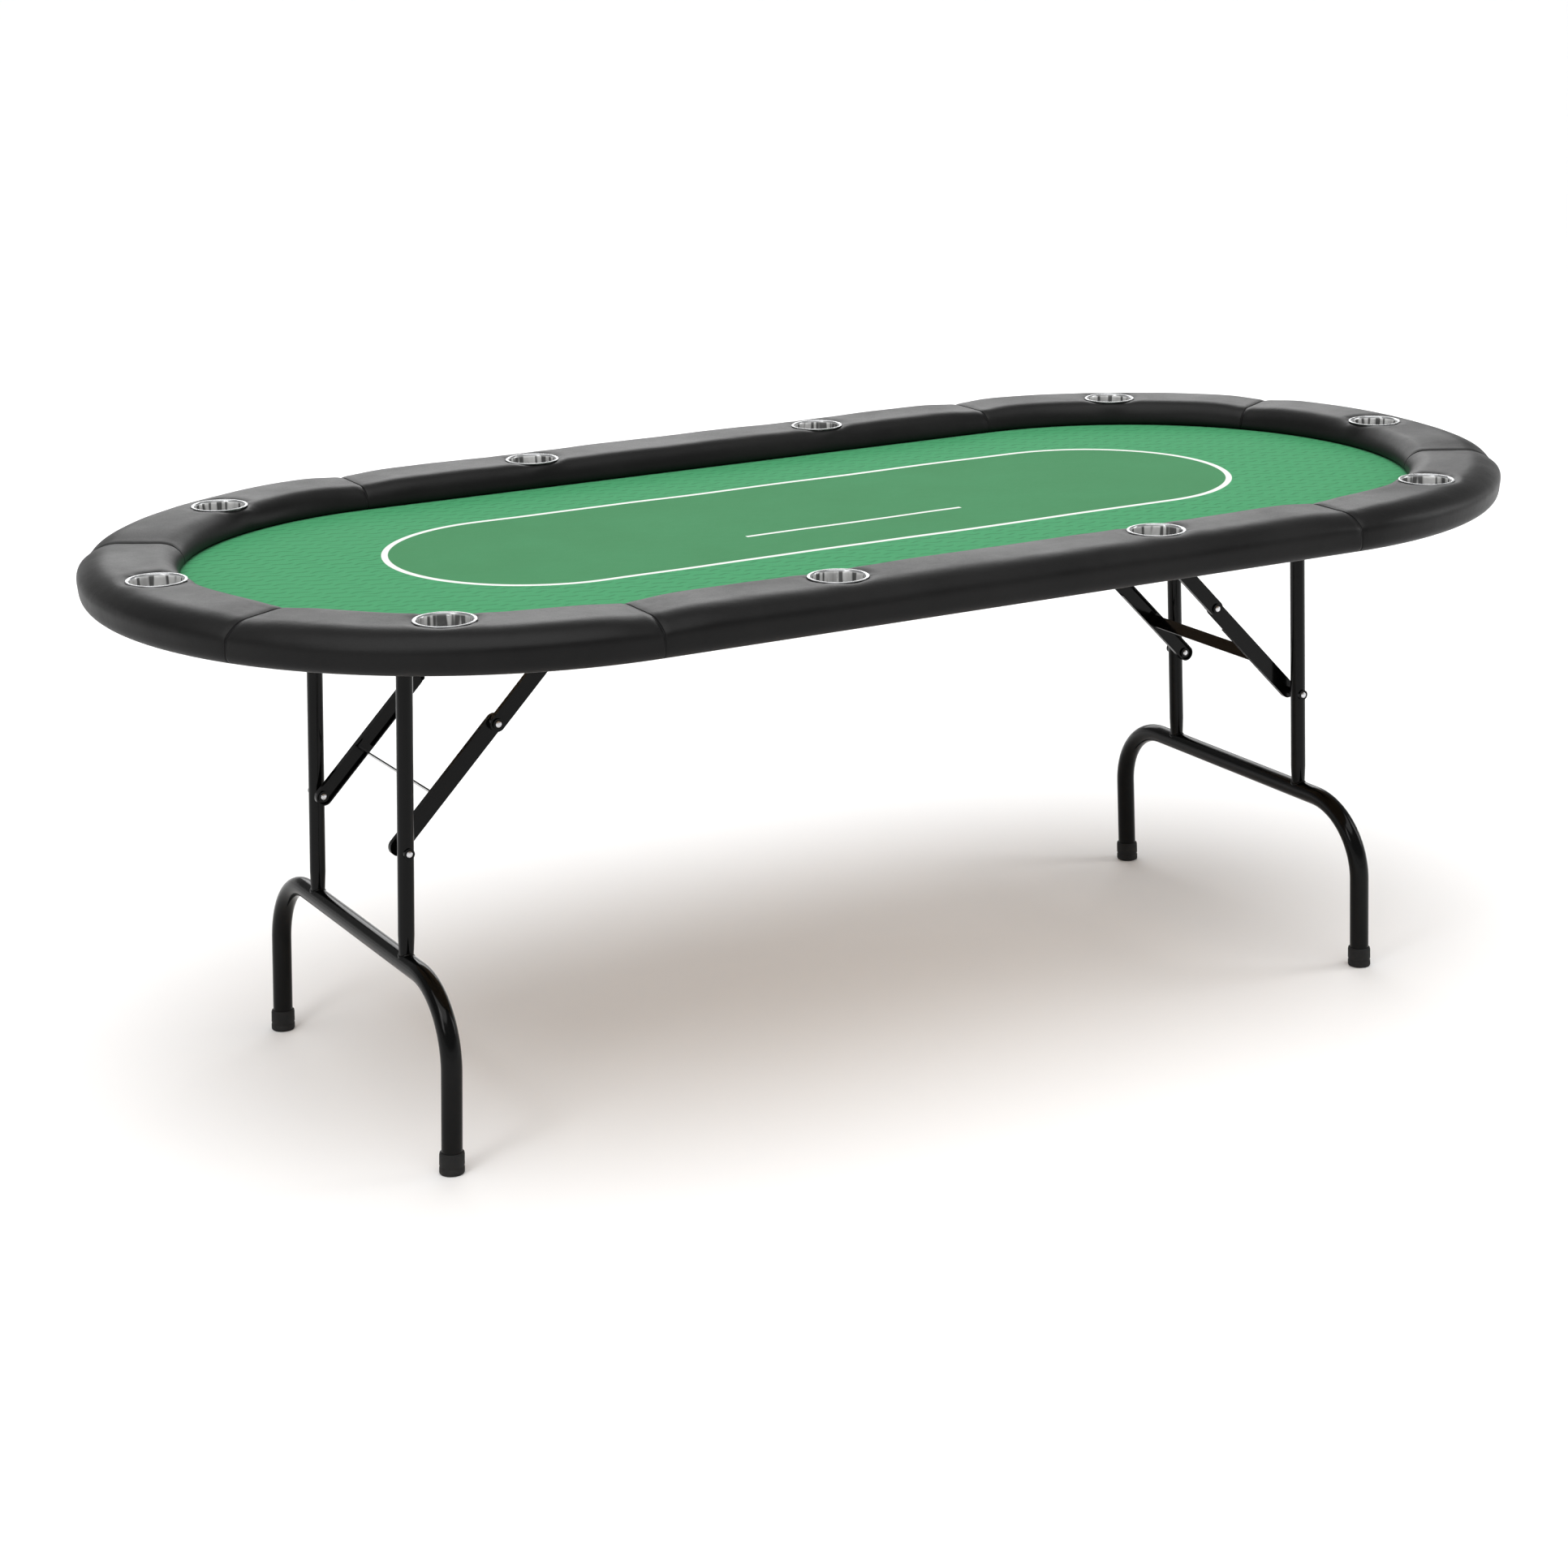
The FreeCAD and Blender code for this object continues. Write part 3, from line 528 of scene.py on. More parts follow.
def make_foam():
    foam = Finish("open_cell_foam", Base_Color=rgb(0.66, 0.63, 0.52), Roughness=0.95)
    point = foam.object_point()
    cells = foam.cells(point, 640.0)
    # The pits of the cells are painted darker: painted shade in the pores.
    pore_shade = rgb(0.42, 0.40, 0.33)
    pale = rgb(0.70, 0.67, 0.56)
    foam.feed("Base Color", foam.mix(cells.step(0.1, 0.6), pore_shade, pale))
    foam.feed("Roughness", cells * 0.1 + 0.86)
    foam.feed("Normal", foam.bump(cells, 0.6, 0.0008))
    return foam


under_board = make_board("board_veneer", rgb(0.47, 0.33, 0.20), rgb(0.30, 0.19, 0.105), True)
batten_wood = make_board("batten_pine", rgb(0.56, 0.41, 0.24), rgb(0.40, 0.26, 0.13), False)
foam_finish = make_foam()


def dress(piece, finish):
    """Give a piece or a node one finish."""
    piece.data.materials.clear()
    piece.data.materials.append(finish.material)


# %% [markdown]
# ## The padded rail
#
# The real rail is foam under stretched vinyl, sewn from eight panels: one along each side and
# three round each end. Its skin is a section carried along the oval. For each panel the section is
# drawn point by point with extrude, then carried: extruded in steps along the straights and spun
# round the ends. Spin keeps the rows even, because the puckers are shaped on those rows later.

# %% The section of the rail
inner_lap = 0.008
inner_rise = 0.006
inner_round = 0.030
crown_flat_end = 0.490
shoulder = 0.060
shoulder_sweep = math.radians(40.0)
lower_corner = rail_outer - board_outer
cover_thickness = board_low.z - rail_bottom
hem_width = 0.024


def arc_points(centre, radius, first, last, count):
    angles = [first + (last - first) * step / count for step in range(count + 1)]
    return [(centre[0] + radius * math.cos(a), centre[1] + radius * math.sin(a)) for a in angles]


def oval_points(centre, half_width, half_height, first, last, count):
    return [(centre[0] + (x - centre[0]) * half_width, centre[1] + (z - centre[1]) * half_height)
            for x, z in arc_points(centre, 1.0, first, last, count)]


def line_points(first, last, count):
    across, up = last[0] - first[0], last[1] - first[1]
    return [(first[0] + across * step / count, first[1] + up * step / count)
            for step in range(count + 1)]


def rail_section():
    """Radius and height of the skin, from the cloth over the crown to the hem below."""
    right = math.pi / 2
    nose_angle = right - shoulder_sweep
    shoulder_centre = (crown_flat_end, rail_crown - shoulder)
    shoulder_end = (shoulder_centre[0] + shoulder * math.cos(nose_angle),
                    shoulder_centre[1] + shoulder * math.sin(nose_angle))
    nose = (rail_outer - shoulder_end[0]) / (1 - math.cos(nose_angle))
    nose_centre = (rail_outer - nose, shoulder_end[1] - nose * math.sin(nose_angle))
    lap_height = cloth_top + inner_rise
    lap_centre = (rail_inner, lap_height)
    round_centre = (rail_inner - inner_lap + inner_round, lap_height)
    low_centre = (board_outer, rail_bottom + lower_corner)
    runs = [
        line_points((rail_inner, board_top + 0.0004), (rail_inner, cloth_top + 0.0005), 1),
        oval_points(lap_centre, inner_lap, inner_rise - 0.0005, 3 * right, math.pi, 4),
        oval_points(round_centre, inner_round, rail_crown - lap_height, math.pi, right, 9),
        line_points((round_centre[0], rail_crown), (crown_flat_end, rail_crown), 12),
        arc_points(shoulder_centre, shoulder, right, nose_angle, 9),
        arc_points(nose_centre, nose, nose_angle, 0.0, 4),
        line_points((rail_outer, nose_centre[1]), (rail_outer, low_centre[1]), 3),
        arc_points(low_centre, lower_corner, 0.0, -right, 5),
        line_points((board_outer, rail_bottom), (board_outer - hem_width, rail_bottom), 5),
    ]
    points = []
    for run in runs:
        points += run if not points else run[1:]
    return points


section = rail_section()
girth = [0.0]
for first, second in zip(section, section[1:]):
    girth.append(girth[-1] + math.dist(first, second))
print("rail section", len(section), "points,", round(girth[-1] * 1000), "mm round")

# %% Draw the section and carry it along a panel
step_length = 0.0068


def draw_section(name):
    """A line of vertices in the XZ plane, extruded one after another from a single one."""
    piece = start("plane", name, size=0.001)
    pick(piece, "VERT", lambda place: place.x > 0 or place.y > 0)
    bpy.ops.mesh.delete(type="VERT")
    bpy.ops.mesh.select_all(action="SELECT")
    mesh = bmesh.from_edit_mesh(piece.data)
    only = mesh.verts[:][0]
    move = Vector((section[0][0], 0, section[0][1])) - only.co
    bpy.ops.transform.translate(value=move)
    for here, there in zip(section, section[1:]):
        move = (there[0] - here[0], 0, there[1] - here[1])
        bpy.ops.mesh.extrude_region_move(TRANSFORM_OT_translate={"value": move})
    bpy.ops.mesh.select_all(action="SELECT")
    return piece


def straight_panel(name, side):
    piece = draw_section(name)
    mesh = bmesh.from_edit_mesh(piece.data)
    for vert in mesh.verts:
        vert.co = Vector((-half_straight, side * vert.co.x, vert.co.z))
    bmesh.update_edit_mesh(piece.data)
    bpy.ops.mesh.select_all(action="SELECT")
    count = round(2 * half_straight / step_length)
    move = (2 * half_straight / count, 0, 0)
    for _ in range(count):
        bpy.ops.mesh.extrude_region_move(TRANSFORM_OT_translate={"value": move})
    return piece


def end_panel(name, centre_x, first_angle):
    piece = draw_section(name)
    mesh = bmesh.from_edit_mesh(piece.data)
    for vert in mesh.verts:
        radius = vert.co.x
        x = centre_x + radius * math.cos(first_angle)
        vert.co = Vector((x, radius * math.sin(first_angle), vert.co.z))
    bmesh.update_edit_mesh(piece.data)
    bpy.ops.mesh.select_all(action="SELECT")
    count = round(panel_angle * (rail_inner + rail_outer) / 2 / step_length)
    bpy.ops.mesh.spin(steps=count, angle=-panel_angle, center=(centre_x, 0, 0), axis=(0, 0, 1))
    return piece


bare_panels = {}
for key, side in (("front", -1), ("back", 1)):
    bare_panels[key] = finish_edit(straight_panel("rail_" + key, side))
for end, side in (("right", 1), ("left", -1)):
    for index in range(3):
        key = "%s_%d" % (end, index + 1)
        first = -side * math.pi / 2 + index * panel_angle
        bare_panels[key] = finish_edit(end_panel("rail_" + key, side * half_straight, first))
print("panels", {key: len(piece.data.vertices) for key, piece in bare_panels.items()})

# %% [markdown]
# ## Stretched vinyl over foam
#
# Foam pushes the skin out and the seams and drink holders hold it down, so the rail is fullest
# midway between them and dips where it is held. That is a simple rule, so it is written as one:
# each point moves along its own normal by an amount that depends on how far it is from the nearest
# seam and the nearest cup. Under a cup's flange the skin is brought level, and just outside it
# rises in a low bank. A little noise keeps the eight panels from looking cast in a mould.

# %% How far each point is pushed out
puff_height = 0.0042
seam_reach = 0.040
seam_crease = 0.0021
cup_reach = 0.045
cup_edge = 0.009
bank_height = 0.0016
bank_start = 0.0385
bank_ramp = 0.004
bank_reach = 0.030
skin_inset = 0.0006
crown_band = 0.020
flange_seat = 0.0008
section_array = np.array(section)
section_tangent = np.gradient(section_array, axis=0)
section_tangent /= np.linalg.norm(section_tangent, axis=1)[:, None]
section_normal = np.stack([-section_tangent[:, 1], section_tangent[:, 0]], axis=1)
seam_turns = [math.radians(angle) for angle in (-90, -30, 30, 90)]


def plan_place(point):
    """Distance out from the middle line, outward direction, and distance to the nearest seam."""
    end_x = min(max(point.x, -half_straight), half_straight)
    outward = Vector((point.x - end_x, point.y, 0))
    radius = outward.length
    outward.normalize()
    if abs(point.x) <= half_straight:
        return radius, outward, half_straight - abs(point.x)
    turn = math.atan2(point.y, abs(point.x) - half_straight)
    return radius, outward, min(abs(turn - seam) for seam in seam_turns) * radius


def smooth(share):
    """0 to 1 with a soft start and end."""
    share = min(max(share, 0.0), 1.0)
    return share * share * (3 - 2 * share)


def falloff(distance, reach):
    """1 at no distance, fading to nothing a little beyond the reach."""
    return math.exp(-(distance / reach) ** 2)


def fullness(girth_here):
    """0 where the skin is fixed to the board, 1 over the crown."""
    return smooth((girth_here - 0.012) / 0.050) * smooth((girth[-1] - 0.030 - girth_here) / 0.055)


def pushed_out(point):
    radius, outward, seam = plan_place(point)
    offsets = section_array - np.array((radius, point.z))
    nearest = int((offsets ** 2).sum(axis=1).argmin())
    here = girth[nearest]
    flat = Vector((point.x, point.y, 0))
    cup = min(cup_places, key=lambda place: (Vector((place.x, place.y, 0)) - flat).length)
    gap = flat - Vector((cup.x, cup.y, 0))
    from_cup = max(gap.length - flange_radius + 0.002, 0.0)
    full = fullness(here)
    on_top = 1.0 if point.z > rail_crown - crown_band else 0.0
    cup_grip = 0.5 * falloff(from_cup, cup_reach) + 0.5 * falloff(from_cup, cup_edge)
    held = (1 - falloff(seam, seam_reach)) * (1 - on_top * cup_grip)
    slack = noise.noise(point * 7.0) * 0.0008 + noise.noise(point * 23.0) * 0.00025
    gather = math.exp(-seam / 0.020) * (1 - falloff(seam, 0.004))
    pucker = 0.00042 * gather * noise.noise(Vector((here * 95.0, outward.x * 3, outward.y * 3)))
    turn = math.atan2(gap.y, gap.x)
    rays = 0.00030 * math.exp(-from_cup / 0.018) * on_top
    ray = rays * noise.noise(Vector((math.cos(turn) * 7, math.sin(turn) * 7, cup.x * 5)))
    crease = seam_crease * falloff(seam, 0.0032) + skin_inset
    ramp = smooth((gap.length - bank_start) / bank_ramp)
    bank = bank_height * ramp * falloff(from_cup, bank_reach) * on_top
    move = full * (puff_height * held + slack + bank) + (pucker + ray) * full - crease * full
    normal = section_normal[nearest]
    level = falloff(from_cup, cup_edge) if point.z > cloth_top + inner_rise else 0.0
    within = 1.0 if radius < crown_flat_end else 0.0
    lift = level * (rail_crown - flange_seat - point.z) * within
    return outward * float(normal[0]) * move + Vector((0, 0, float(normal[1]) * move + lift))


def shape_panel(piece):
    mesh = bmesh.new()
    mesh.from_mesh(piece.data)
    moves = [(vert, pushed_out(vert.co)) for vert in mesh.verts]
    for vert, move in moves:
        vert.co += move
    mesh.to_mesh(piece.data)
    mesh.free()


def open_cup_holes(piece, hole_radius=0.0362, bite=0.0345, edge_band=0.012, depth=0.022):
    """Take out the skin under each cup and draw the ragged edge onto a circle."""
    mesh = bmesh.new()
    mesh.from_mesh(piece.data)
    for cup in cup_places:
        axis = Vector((cup.x, cup.y, 0))
        inside = []
        for vert in mesh.verts:
            offset = Vector((vert.co.x, vert.co.y, 0)) - axis
            if vert.co.z > rail_crown - depth and offset.length < bite:
                inside.append(vert)
        if not inside:
            continue
        bmesh.ops.delete(mesh, geom=inside, context="VERTS")
        for vert in mesh.verts:
            offset = Vector((vert.co.x, vert.co.y, 0)) - axis
            high = vert.co.z > rail_crown - depth
            if vert.is_boundary and high and offset.length < bite + edge_band:
                placed = axis + offset.normalized() * hole_radius
                vert.co.x = placed.x
                vert.co.y = placed.y
    mesh.to_mesh(piece.data)
    mesh.free()


# %% Finish the eight panels
for key, panel in bare_panels.items():
    shape_panel(panel)
    open_cup_holes(panel)
    apply_modifier(panel, "SUBSURF", levels=1, render_levels=1)
    apply_modifier(panel, "SOLIDIFY", thickness=cover_thickness, offset=-1.0, use_rim=True)
    dress(panel, black_vinyl)
    make_active(panel)
    bpy.ops.object.shade_smooth_by_angle(angle=math.radians(40))
    panel.name = "vinyl_panel_" + key
    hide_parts("rail_cover_" + key, "rail_foam")
    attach(panel, "table_top")
    print(panel.name, triangles(panel), "triangles")

# %% [markdown]
# ## The playing cloth
#
# The cloth is one flat oval, stretched over thin foam and tucked down beside the rail. It starts
# as a disc: moving its right half one way and its left half the other makes the oval. Insets near
# the rim give rows to push down, so the edge rolls under the rail and doesn't end in a cut line.

# %% Cut and tuck the cloth
cloth = start("circle", "cloth_sheet", vertices=256, radius=cloth_radius, fill_type="NGON",
              location=(0, 0, cloth_bottom))
for side in (1, -1):
    pick(cloth, "VERT", lambda place: place.x * side > 1e-4)
    bpy.ops.transform.translate(value=(side * half_straight, 0, 0))
bpy.ops.mesh.select_mode(type="FACE")
bpy.ops.mesh.select_all(action="SELECT")
for width in (0.0012, 0.0020, 0.0035, 0.012, 0.05):
    bpy.ops.mesh.inset(thickness=width, depth=0)
edge_roll = ((0.0008, 0.0016), (0.0022, 0.0006), (0.005, 0.0001))


def cloth_margin(place):
    end_x = min(max(place.x, -half_straight), half_straight)
    return cloth_radius - math.hypot(place.x - end_x, place.y)


last_margin = 0.0
for margin, drop in edge_roll:
    pick(cloth, "VERT", lambda place: last_margin - 1e-5 <= cloth_margin(place) < margin)
    bpy.ops.transform.translate(value=(0, 0, -drop))
    last_margin = margin
finish_edit(cloth)
apply_modifier(cloth, "SOLIDIFY", thickness=cloth_top - cloth_bottom, offset=1.0, use_rim=True)
dress(cloth, speed_cloth)
cloth_area = math.pi * cloth_radius ** 2 + 4 * half_straight * cloth_radius
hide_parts("playing_cloth", "playing_foam")
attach(cloth, "table_top")
print("cloth", round(cloth_area, 3), "square metres,", triangles(cloth), "triangles")

# %% [markdown]
# ## Drink holders
#
# Each holder is pressed from one disc of steel: a rolled lip, a flange, a straight wall and a
# dished floor. A circle extruded and scaled ring by ring follows the press. Each vertex then keeps
# its place relative to the cup's own middle, because the steel's fine lines run round it.

# %% Press one cup
cup_top = cup_high.z
cup_floor = cup_low.z
sheet_thickness = 0.0008
cup_rings = [
    (flange_radius - 0.0011, cup_top - 0.0017),
    (flange_radius, cup_top - 0.0011),
    (flange_radius - 0.0002, cup_top - 0.0004),
    (flange_radius - 0.0011, cup_top),
    (flange_radius - 0.0036, cup_top - 0.00015),
    (0.0355, cup_top - 0.0007),
    (0.0346, cup_top - 0.0019),
    (0.0343, cup_top - 0.0040),
    (0.0342, cup_top - 0.020),
    (0.0341, cup_floor + 0.0075),
    (0.0332, cup_floor + 0.0040),
    (0.0312, cup_floor + 0.0018),
    (0.0285, cup_floor + 0.0010),
    (0.0240, cup_floor + 0.0009),
    (0.0226, cup_floor + 0.0017),
    (0.0205, cup_floor + 0.0020),
    (0.0100, cup_floor + 0.0020),
]


def press(name, rings, sides=96, close=True):
    """Carry a ring through a list of radii and heights."""
    first_radius, first_height = rings[0]
    piece = start("circle", name, vertices=sides, radius=first_radius,
                  location=(0, 0, first_height))
    for (radius, height), (next_radius, next_height) in zip(rings, rings[1:]):
        move = (0, 0, next_height - height)
        bpy.ops.mesh.extrude_region_move(TRANSFORM_OT_translate={"value": move})
        ratio = next_radius / radius
        bpy.ops.transform.resize(value=(ratio, ratio, 1), center_override=(0, 0, next_height))
    if close:
        bpy.ops.mesh.extrude_region_move(TRANSFORM_OT_translate={"value": (0, 0, 0)})
        bpy.ops.mesh.merge(type="CENTER")
    return piece


def remember_place(piece, name):
    """Store each vertex's place before the piece is moved."""
    stored = piece.data.attributes.new(name, "FLOAT_VECTOR", "POINT")
    values = [axis for vert in piece.data.vertices for axis in vert.co]
    stored.data.foreach_set("vector", values)


cup_master = press("cup_master", cup_rings)
bpy.ops.mesh.select_all(action="SELECT")
bpy.ops.mesh.normals_make_consistent(inside=False)
bpy.ops.object.mode_set(mode="OBJECT")
middle_face = min(cup_master.data.polygons, key=lambda face: face.center.xy.length)
if middle_face.normal.z < 0:
    cup_master.data.flip_normals()
apply_modifier(cup_master, "SOLIDIFY", thickness=sheet_thickness, offset=-1.0, use_rim=True)
apply_modifier(cup_master, "SUBSURF", levels=1, render_levels=1)
remember_place(cup_master, "cup_place")
bpy.ops.object.shade_smooth_by_angle(angle=math.radians(50))
dress(cup_master, stainless)
for index, (name, place) in enumerate(zip(cup_names, cup_places)):
    turned = Matrix.Translation((place.x, place.y, 0)) @ Matrix.Rotation(index * 1.7, 4, "Z")
    cup = copy_of(cup_master, "steel_cup_%02d" % (index + 1), turned)
    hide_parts(name)
    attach(cup, "table_top")
print("cups", len(cup_names), triangles(cup_master), "triangles each")
bpy.data.objects.remove(cup_master)

# %% [markdown]
# ## Rubber feet
#
# The caps are moulded: a rounded sole, a grip ring and a lip that hugs the tube. Their rings follow
# the leg's lean, but the sole stays level, so each ring slides sideways instead of tilting.

# %% Mould the feet
cap_names = [name for name in nodes if name.startswith("foot_cap")]
cap_low, cap_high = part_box("foot_cap_back_right")
hinge_low, hinge_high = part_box("pivot_tube_right")
hinge = (hinge_low + hinge_high) / 2
cap_radius = (cap_high.y - cap_low.y) / 2
leg_lean = math.radians(2.54)
drift = math.tan(leg_lean)
cap_rings = [
    (0.0100, 0.0),
    (cap_radius - 0.0022, 0.0),
    (cap_radius - 0.0007, 0.0006),
    (cap_radius, 0.0022),
    (cap_radius, 0.0085),
    (cap_radius - 0.0009, 0.0095),
    (cap_radius - 0.0009, 0.0115),
    (cap_radius, 0.0125),
    (cap_radius - 0.0001, 0.0265),
    (cap_radius - 0.0007, 0.0289),
    (cap_radius - 0.0018, 0.0299),
    (0.01425, 0.0299),
    (0.01400, 0.0270),
]
cap_master = press("cap_master", cap_rings, sides=64, close=False)
pick(cap_master, "VERT", lambda place: place.z < 1e-6 and place.xy.length < 0.0101)
bpy.ops.mesh.extrude_region_move(TRANSFORM_OT_translate={"value": (0, 0, 0)})
bpy.ops.mesh.merge(type="CENTER")
finish_edit(cap_master, 50)
dress(cap_master, foot_rubber)
for name in cap_names:
    low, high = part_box(name)
    side = 1 if low.x > 0 else -1
    foot = copy_of(cap_master, "rubber_foot_" + name[9:], Matrix.Identity(4))
    middle_y = (low.y + high.y) / 2
    for vert in foot.data.vertices:
        vert.co.x += side * (hinge.x + drift * (hinge.z - vert.co.z))
        vert.co.y += middle_y
    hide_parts(name)
    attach(foot, "leg_frame_right" if side > 0 else "leg_frame_left")
print("feet", len(cap_names))
bpy.data.objects.remove(cap_master)

# %% [markdown]
# ## Welds and rivets
#
# Where an upright meets the crossbar or the pivot tube, a bead of weld follows the curve of one
# tube on the other. A torus laid over the tube takes that curve when each point rises by the
# tube's own roundness. Rivet heads are shallow domes, so the flat heads of the frame get one each.

# %% Lay the weld beads
upright_low, upright_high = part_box("upright_back_right")
bar_radius = 0.014
neck_radius = 0.0096
upright_y = (upright_low.y + upright_high.y) / 2
pivot_radius = (hinge_high.z - hinge_low.z) / 2
bar_drop = 0.4309


def weld_bead(name, ring_radius, tube_radius, bead, seed):
    """A rippled torus draped over a tube that runs along Y."""
    piece = start("torus", name, major_radius=ring_radius, minor_radius=bead,
                  major_segments=72, minor_segments=10)
    finish_edit(piece, 60)
    for vert in piece.data.vertices:
        turn = math.atan2(vert.co.y, vert.co.x)
        ripple = 1 + 0.10 * math.sin(turn * 26 + seed) + 0.06 * noise.noise(vert.co * 300)
        ring = Vector((math.cos(turn), math.sin(turn), 0)) * ring_radius
        vert.co = ring + (vert.co - ring) * ripple
        inside = max(tube_radius ** 2 - vert.co.x ** 2, 0.0)
        vert.co.z += math.sqrt(inside)
    return piece


def on_leg(distance, y, side):
    """Place on the leaning leg: a distance down from the hinge."""
    angle = leg_lean * side
    down = Matrix.Translation((side * hinge.x, y, hinge.z))
    return down @ Matrix.Rotation(-angle, 4, "Y") @ Matrix.Translation((0, 0, -distance))


for side, end in ((1, "right"), (-1, "left")):
    for row, edge in ((1, "back"), (-1, "front")):
        corner = "%s_%s" % (edge, end)
        bead = weld_bead("weld_" + corner, neck_radius + 0.0004, bar_radius,
                         0.0016, side + 2 * row)
        bead.data.transform(on_leg(bar_drop, row * upright_y, side))
        top_bead = weld_bead("weld_top_" + corner, pivot_radius - 0.0002, pivot_radius + 0.0003,
                             0.0013, row)
        upside_down = Matrix.Rotation(math.pi, 4, "X")
        top_bead.data.transform(on_leg(0.0, row * upright_y, side) @ upside_down)
        weld = joined([bead, top_bead], "weld_beads_" + corner)
        dress(weld, gloss_steel)
        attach(weld, "leg_frame_" + end)
print("weld beads at both ends")

# %% Dome the rivet heads
dome_radius = 0.0044
pin_gap = 0.099
inner_sink = 0.0027
bracket_stand = 0.0048
rivet_low, rivet_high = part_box("leg_rivets_right")
leg_pin = (rivet_low + rivet_high) / 2
leg_pin.y = rivet_high.y
middle_low, middle_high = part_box("lower_rivets_right")
middle_pin = (middle_low + middle_high) / 2
arm_way = Vector((leg_pin.x - middle_pin.x, 0, leg_pin.z - middle_pin.z)).normalized()
outer_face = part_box("upper_rivets_right")[1].y
second_pin = middle_pin - arm_way * pin_gap
inner_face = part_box("lower_strut_back_right")[0].y + inner_sink
upper_low, upper_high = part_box("upper_strut_back_right")
top_pin = middle_pin * 2 - Vector((leg_pin.x, 0, leg_pin.z))


def rivet_dome(name, height=0.0017):
    """Half a ball, flattened, with a small rounded step at its rim."""
    piece = start("uv_sphere", name, segments=32, ring_count=16, radius=dome_radius)
    pick(piece, "VERT", lambda place: place.z < -1e-6)
    bpy.ops.mesh.delete(type="VERT")
    bpy.ops.mesh.select_all(action="SELECT")
    bpy.ops.transform.resize(value=(1, 1, height / dome_radius), center_override=(0, 0, 0))
    pick(piece, "EDGE", lambda place: place.z < 1e-6)
    bpy.ops.mesh.extrude_region_move(TRANSFORM_OT_translate={"value": (0, 0, -0.0006)})
    bpy.ops.mesh.edge_face_add()
    return finish_edit(piece, 40)


dome = rivet_dome("rivet_dome_master")
dress(dome, zinc_bright)
for end, side in (("right", 1), ("left", -1)):
    leg_heads = [(leg_pin, rivet_high.y, 1), (leg_pin, inner_face, -1)]
    brace_heads = [(middle_pin, outer_face, 1), (second_pin, outer_face, 1)]
    bracket_heads = [(top_pin, upper_high.y + bracket_stand, 1),
                     (top_pin, upper_low.y + inner_sink, -1)]
    for group, body, pins in (("leg", "leg_frame_" + end, leg_heads),
                              ("brace", "upper_brace_" + end, brace_heads),
                              ("bracket", "table_top", bracket_heads)):
        made = []
        for pin, face, way in pins:
            for row in (1, -1):
                place = Matrix.Translation((side * pin.x, row * face, pin.z))
                turned = place @ Matrix.Rotation(-row * way * math.pi / 2, 4, "X")
                made.append(copy_of(dome, "rivet_dome", turned))
        heads = joined(made, "rivet_domes_%s_%s" % (group, end))
        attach(heads, body)
bpy.data.objects.remove(dome)
print("rivet domes at both ends")

# %% [markdown]
# ## Staples along the hem
#
# Under the board the vinyl is pulled tight and stapled every few centimetres. A staple is only a
# short bent wire, but a row of them shows from below how the cover is held. One is shaped from a
# cube, then copied along the oval, each turned to lie along the hem and a touch out of line.

# %% Staple the hem
staple_line = board_outer - 0.0115
staple_gap = 0.034
staple = start("cube", "staple_master", size=1.0)
bpy.ops.transform.resize(value=(0.0100, 0.0012, 0.0007), center_override=(0, 0, 0))
bpy.ops.mesh.bevel(offset=0.00022, segments=1, affect="EDGES")
finish_edit(staple)
half_turn = math.pi * staple_line
loop_length = 4 * half_straight + 2 * half_turn
staples = []
for index in range(int(loop_length / staple_gap)):
    along = index * staple_gap
    if along < 2 * half_straight:
        place, turn = Vector((-half_straight + along, -staple_line, 0)), 0.0
    elif along < 2 * half_straight + half_turn:
        turn = (along - 2 * half_straight) / staple_line
        x = half_straight + staple_line * math.sin(turn)
        place = Vector((x, -staple_line * math.cos(turn), 0))
    elif along < 4 * half_straight + half_turn:
        place = Vector((half_straight - (along - 2 * half_straight - half_turn), staple_line, 0))
        turn = math.pi
    else:
        turn = math.pi + (along - 4 * half_straight - half_turn) / staple_line
        x = -half_straight + staple_line * math.sin(turn)
        place = Vector((x, -staple_line * math.cos(turn), 0))
    place.z = rail_bottom + 0.0003
    crooked = turn + random.uniform(-0.14, 0.14)
    placed = Matrix.Translation(place) @ Matrix.Rotation(crooked, 4, "Z")
    staples.append(copy_of(staple, "staple", placed))
staple_row = joined(staples, "hem_staples")
dress(staple_row, zinc_bright)
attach(staple_row, "table_top")
bpy.data.objects.remove(staple)
print("staples", len(staples), triangles(staple_row), "triangles")

# %% [markdown]
# ## Finishes for the frame's own nodes
#
# The tubes, struts, brackets and boards already have their true shape, so they only need a finish.
# The nodes that were modelled again get one too, in case they are ever shown. A node takes the
# finish of the longest name in the list that its own name starts with.

# %% Dress the nodes
finish_of = {
    "base_board": under_board,
    "rail_base": under_board,
    "batten": batten_wood,
    "playing_foam": foam_finish,
    "rail_foam": foam_finish,
    "hinge_saddles": zinc_plate,
    "brace_brackets": zinc_plate,
    "hardware": zinc_bright,
    "leg_rivets": gloss_steel,
    "lower_rivets": gloss_steel,
    "upper_rivets": gloss_steel,
    "pivot_tube": gloss_steel,
    "upright": gloss_steel,
    "foot_tube": gloss_steel,
    "lower_strut": gloss_steel,
    "upper_strut": gloss_steel,
    "cross_plate": gloss_steel,
    "rail_cover": black_vinyl,
    "playing_cloth": speed_cloth,
    "cup_holder": zinc_plate,
    "foot_cap": foot_rubber,
}
for name, node in nodes.items():
    match = max((key for key in finish_of if name.startswith(key)), key=len)
    dress(node, finish_of[match])
print("dressed", len(nodes), "nodes")

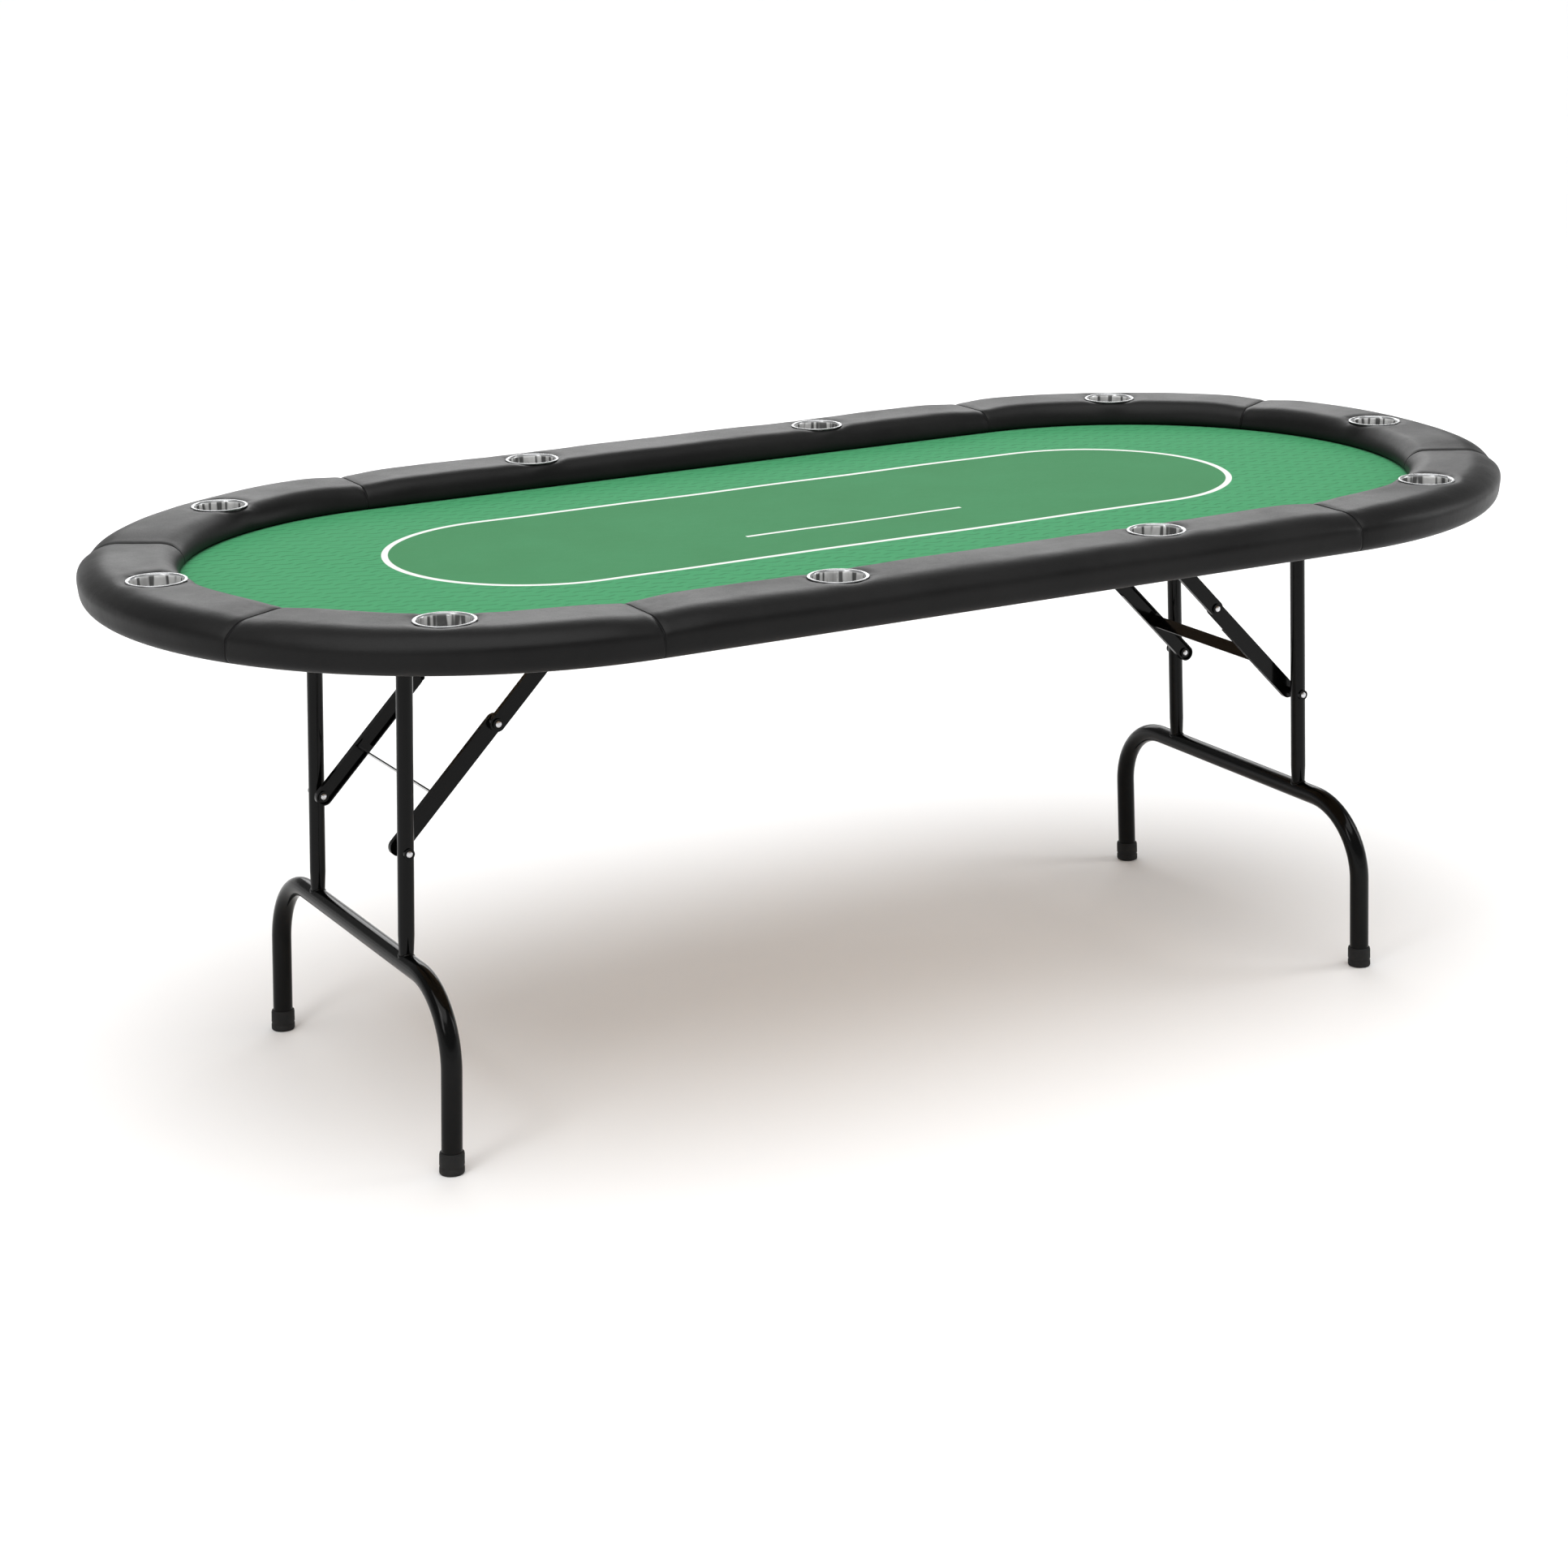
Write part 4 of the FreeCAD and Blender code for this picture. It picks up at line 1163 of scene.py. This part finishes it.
# %% [markdown]
# ## Floor, light and camera
#
# A pale floor under one wide, soft sun gives even light. Black only shows by what it reflects, so
# three softboxes stand right, left and behind. The sky is bright at the horizon, where it meets the
# floor without a visible edge, and dimmer above. The camera looks slightly down along the table
# from its front left.

# %% Floor
floor = start("plane", "studio_floor", size=400.0)
finish_edit(floor)
floor_finish = Finish("studio_floor_paint", Base_Color=rgb(0.93, 0.93, 0.93), Roughness=0.9)
floor_finish.shader.inputs["Specular IOR Level"].default_value = 0.1
dress(floor, floor_finish)

# %% Lights
world = bpy.data.worlds.new("studio")
bpy.context.scene.world = world
world.use_nodes = True
backdrop = world.node_tree.nodes["Background"]
backdrop.inputs["Color"].default_value = rgb(1.0, 1.0, 1.0)
sky_bright, sky_dim = 1.0, 0.34
sky_low, sky_high = 0.12, 0.26
sky_nodes, sky_links = world.node_tree.nodes, world.node_tree.links
direction = sky_nodes.new("ShaderNodeTexCoord")
split = sky_nodes.new("ShaderNodeSeparateXYZ")
fade = sky_nodes.new("ShaderNodeMapRange")
fade.interpolation_type = "SMOOTHSTEP"
limits = {"From Min": sky_low, "From Max": sky_high, "To Min": sky_bright, "To Max": sky_dim}
for key, value in limits.items():
    fade.inputs[key].default_value = value
sky_links.new(direction.outputs["Generated"], split.inputs["Vector"])
sky_links.new(split.outputs["Z"], fade.inputs["Value"])
sky_links.new(fade.outputs["Result"], backdrop.inputs["Strength"])
bpy.context.scene.view_settings.view_transform = "Standard"


def lamp(name, kind, place, target, power, **settings):
    light = bpy.data.lights.new(name, kind)
    light.energy = power
    for key, value in settings.items():
        setattr(light, key, value)
    holder = bpy.data.objects.new(name, light)
    holder.location = place
    beam = Vector(target) - Vector(place)
    holder.rotation_euler = beam.to_track_quat("-Z", "Y").to_euler()
    bpy.context.scene.collection.objects.link(holder)


def softbox(name, place, target, power, width, height):
    lamp(name, "AREA", place, target, power, shape="RECTANGLE", size=width, size_y=height)


lamp("overhead", "SUN", (-0.5, -0.6, 4.0), (0, 0, 0.7), 2.4, angle=math.radians(65.0))
softbox("right_side", (3.6, -1.2, 2.0), (0, 0, 0.5), 26.0, 1.2, 2.0)
softbox("far_side", (2.4, 5.0, 2.9), (0, 0, 0.75), 110.0, 5.0, 2.0)
softbox("left_side", (-3.2, -1.6, 2.5), (-0.6, 0, 0.4), 24.0, 1.0, 1.8)

# %% Camera
camera_data = bpy.data.cameras.new("camera")
camera_data.sensor_width = 36.0
camera_data.lens = 74.49
camera = bpy.data.objects.new("camera", camera_data)
bpy.context.scene.collection.objects.link(camera)
bpy.context.scene.camera = camera
camera_place = (-2.259, -3.916, 1.7045)
yaw = math.radians(29.14)
pitch = math.radians(16.913)
roll = math.radians(-0.87)
level = math.cos(pitch)
forward = Vector((math.sin(yaw) * level, math.cos(yaw) * level, -math.sin(pitch)))
level_right = forward.cross(Vector((0, 0, 1))).normalized()
level_up = level_right.cross(forward)
right_way = level_right * math.cos(roll) + level_up * math.sin(roll)
up_way = level_up * math.cos(roll) - level_right * math.sin(roll)
turned = Matrix((right_way, up_way, -forward)).transposed().to_4x4()
camera.matrix_world = Matrix.Translation(camera_place) @ turned
